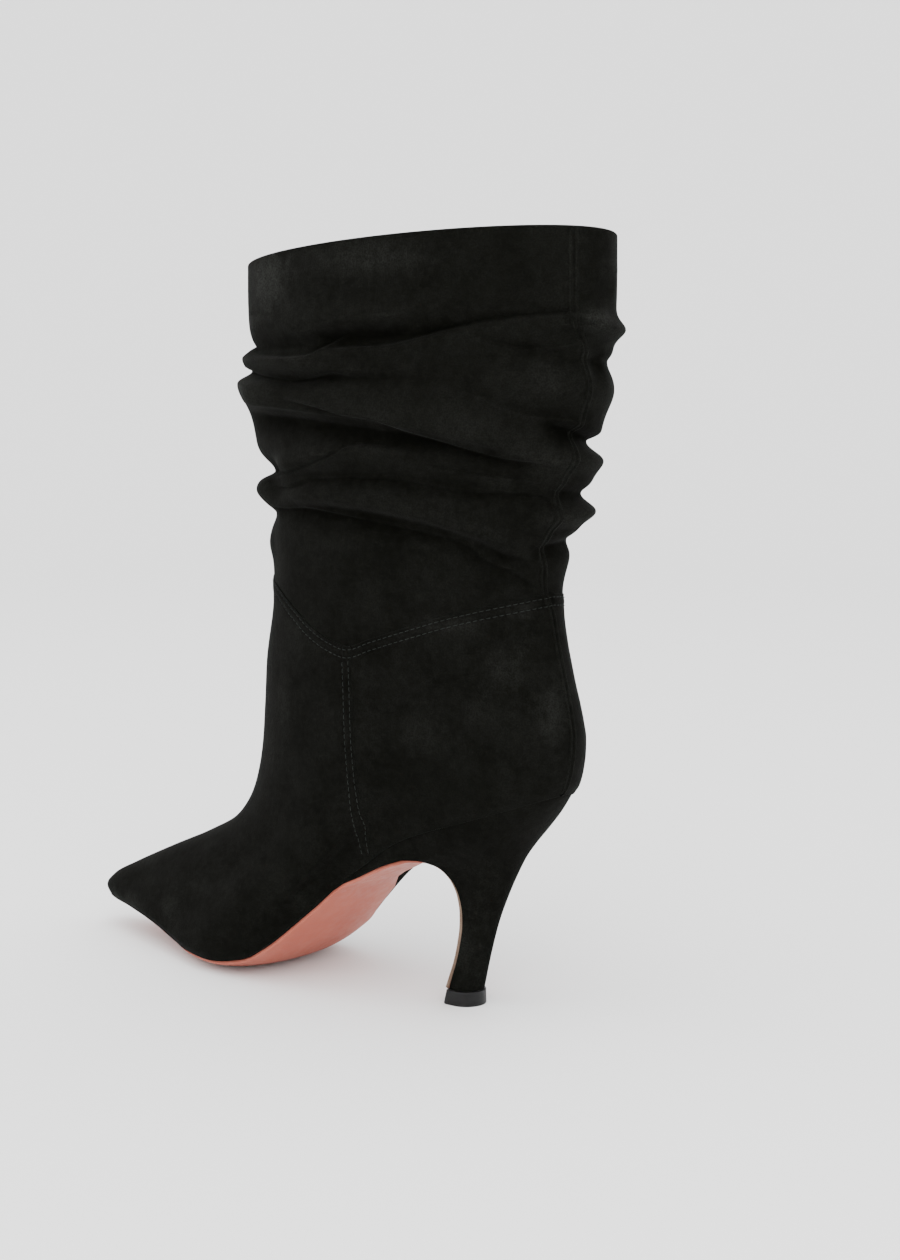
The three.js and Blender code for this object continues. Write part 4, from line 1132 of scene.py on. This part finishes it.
# heel and top piece
def heel_half_width(along, row):
    gone, left = along - row["back"], row["front"] - along
    rounded = np.sqrt(np.maximum(row["back_width"] ** 2 - (row["back_width"] - gone) ** 2, 0))
    straight = mix(row["back_width"], row["front_width"],
                   np.clip((gone - row["back_width"]) / (row["front"] - row["back"]), 0, 1))
    corner = HEEL_CORNER - np.sqrt(np.maximum(HEEL_CORNER ** 2 - np.maximum(HEEL_CORNER - left, 0) ** 2, 0))
    return np.where(gone < row["back_width"], rounded, straight) - corner


def heel_ring(row, points=96):
    turn = TURN * np.arange(points) / points
    share = share_of_turn(turn)
    along = mix(row["back"], row["front"], share)
    seat_dip = feather_height(along) - mix(feather_height(row["back"]), feather_height(row["front"]), share)
    outer = turn <= math.pi
    limit = either_width(along, outer) - HEEL_INSET
    width = np.minimum(heel_half_width(along, row), np.maximum(limit, 0))
    width[[0, points // 2]] = 0
    height = mix(row["back_height"], row["front_height"], share) + row["sag"] * seat_dip
    return np.stack([along, np.where(outer, width, -width), height], -1)


def cutter(name, rings):
    """A closed body in the scene, to cut or be cut."""
    points, faces = capped(rings)
    body = shell(name, placed(points), faces)
    outward(body)
    return body


def outward(piece):
    """Turns every face of a closed body outward."""
    bpy.context.view_layer.objects.active = piece
    bpy.ops.object.select_all(action="DESELECT")
    piece.select_set(True)
    bpy.ops.object.mode_set(mode="EDIT")
    bpy.ops.mesh.select_all(action="SELECT")
    bpy.ops.mesh.normals_make_consistent(inside=False)
    bpy.ops.object.mode_set(mode="OBJECT")


def heel_sections():
    """Rings of the heel from seat to foot. The first lies just above the feather line."""
    line = curves(HEEL)
    for place in np.linspace(0, len(HEEL) - 1, HEEL_SECTIONS):
        row = {key: float(line[key](place)) for key in line}
        for end in ("back", "front"):
            row[end] *= LENGTH
            row[end + "_width"] *= BALL_WIDTH
            row[end + "_height"] = mix(HEEL_FOOT, HEEL_HEIGHT, row[end + "_height"])
            if place == 0:
                row[end + "_height"] = float(feather_height(row[end])) + HEEL_ABOVE
        yield heel_ring(row)


def heel_piece():
    """Heel cover, cut to the upper's feather line above and to the sole in front."""
    body = cutter("heel_cover", list(heel_sections()))
    wide = SHAFT_WIDTH
    across, depth = np.array([wide, -wide, -wide, wide]), np.array([-0.1, -0.1, SOLE_SPACE, SOLE_SPACE])
    space = cutter("sole_space", [sole_ring(i, across, depth) for i in range(len(PATH))])
    along = np.linspace(SEAT - 30, LENGTH * 0.5, 80)
    above = cutter("above_feather", [
        np.array([[a, wide, h - 0.1], [a, -wide, h - 0.1], [a, -wide, h + 80], [a, wide, h + 80]])
        for a, h in zip(along, feather_height(along))])
    for tool in (space, above):
        cut = body.modifiers.new("cut", "BOOLEAN")
        cut.operation, cut.object, cut.solver = "DIFFERENCE", tool, "EXACT"
    shaped = bpy.data.meshes.new_from_object(body.evaluated_get(bpy.context.evaluated_depsgraph_get()))
    for gone in (body, space, above):
        bpy.data.objects.remove(gone)
    piece = make("heel_cover", [v.co for v in shaped.vertices], [p.vertices for p in shaped.polygons],
                 [heel_suede])
    piece.data.set_sharp_from_angle(angle=math.radians(38))
    return piece


heel = heel_piece()
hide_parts("heel")


def tip_row(height, flare):
    back = HEEL[-1]["back"] * LENGTH - HEEL_INSET
    half = TOP_PIECE_WIDTH / 2 + flare / 2
    return dict(back=back, front=back + TOP_PIECE_LENGTH + flare, back_height=height,
                front_height=height, back_width=half, front_width=half, sag=0)


tip_rings = [heel_ring(tip_row(height, flare)) for height, flare in (
    (0.0, TOP_PIECE_FLARE - 0.5), (0.12, TOP_PIECE_FLARE - 0.15), (0.4, TOP_PIECE_FLARE),
    (2.4, TOP_PIECE_FLARE * 0.55), (5.2, 0.0), (5.5, -0.12), (TOP_PIECE_HEIGHT, -0.4))]
tip_points, tip_faces = capped(tip_rings, flip=True)
tip = make("heel_tip", placed(tip_points), tip_faces, [tip_plastic])
tip.data.set_sharp_from_angle(angle=math.radians(50))
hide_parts("top_piece")


# sock inside
def sock_piece():
    inset = WALL + INSOLE_MARGIN
    rings = []
    for turn in np.linspace(0.06, math.pi - 0.06, 70):
        share = (1 - math.cos(turn)) / 2
        along = mix(SEAT + inset, TOE - TOE_RADIUS - inset, share)
        wide = {side: float(feather_width(mix(SEAT, TOE, share), side)) for side in FULL}
        sides = {side: max(wide[side] - inset, wide[side] * INSOLE_END) for side in FULL}
        low = float(feather_height(along)) + WALL + CLEARANCE
        x = np.linspace(1, -1, 17)
        across = np.where(x > 0, sides["outer"] * x, sides["inner"] * x)
        top = low + INSOLE_THICKNESS - 1.2 * np.abs(x) ** 8
        rings.append(np.stack([np.full(x.shape, along), across, top], -1))
    points = np.stack(rings)
    return make("sock", placed(points), grid_faces(*points.shape[:2]), [lining_leather])


sock = sock_piece()
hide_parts("insole")

# camera, light and floor
PHOTO_HEIGHT = 1260
FOCAL_PIXELS = 2400
SENSOR = 36
CAMERA_PLACE = (-519.3, 688.7, 260.2)
CAMERA_PITCH = math.radians(7.45)
CAMERA_HEADING = (-0.7670, -0.6416)
camera_data = bpy.data.cameras.new("camera")
camera_data.lens = FOCAL_PIXELS * SENSOR / PHOTO_HEIGHT
camera_data.sensor_width = SENSOR
camera = shown("camera", camera_data)
aim(camera, placed([CAMERA_PLACE])[0].tolist(),
    [*(part * math.cos(CAMERA_PITCH) for part in CAMERA_HEADING), -math.sin(CAMERA_PITCH)])
bpy.context.scene.camera = camera


def studio():
    """Round floor that sweeps up into a low pale wall, open above."""
    flat, bend, top, sides = 1.5, 0.9, 1.6, 96
    profile = [(0.0, 0.0), (flat / 3, 0.0), (flat, 0.0)]
    profile += [(flat + bend * math.sin(a), bend - bend * math.cos(a))
                for a in np.linspace(0.08, math.pi / 2, 18)]
    profile += [(flat + bend, top)]
    spokes = [(math.cos(TURN * k / sides), math.sin(TURN * k / sides)) for k in range(sides)]
    vertices = [(r * x, r * y, z) for r, z in profile for x, y in spokes]
    floor = shell("floor", vertices, grid_faces(len(profile), sides, closed=True))
    pale, _, shader = principled("pale_floor", Roughness=0.9, Specular_IOR_Level=0.1)
    shader.inputs["Base Color"].default_value = (0.92, 0.92, 0.92, 1)
    floor.data.materials.append(pale)
    floor.data.update()


studio()


def lamp(name, place, target, size, power):
    data = bpy.data.lights.new(name, "AREA")
    data.size, data.energy = size, power
    aim(shown(name, data), place, Vector(target) - Vector(place))


lamp("top_light", (0.1, 0.1, 1.9), (0, 0, 0.1), 1.6, 18)
lamp("camera_side_light", (1.0, 1.0, 1.1), (0, 0, 0.12), 1.2, 17)
lamp("toe_side_light", (0.5, -1.4, 0.9), (0, 0, 0.12), 1.0, 3)
world = bpy.data.worlds.new("soft_light")
world.use_nodes = True
glow = world.node_tree.nodes["Background"].inputs
glow["Color"].default_value = (1, 1, 1, 1)
glow["Strength"].default_value = 1.9
bpy.context.scene.world = world
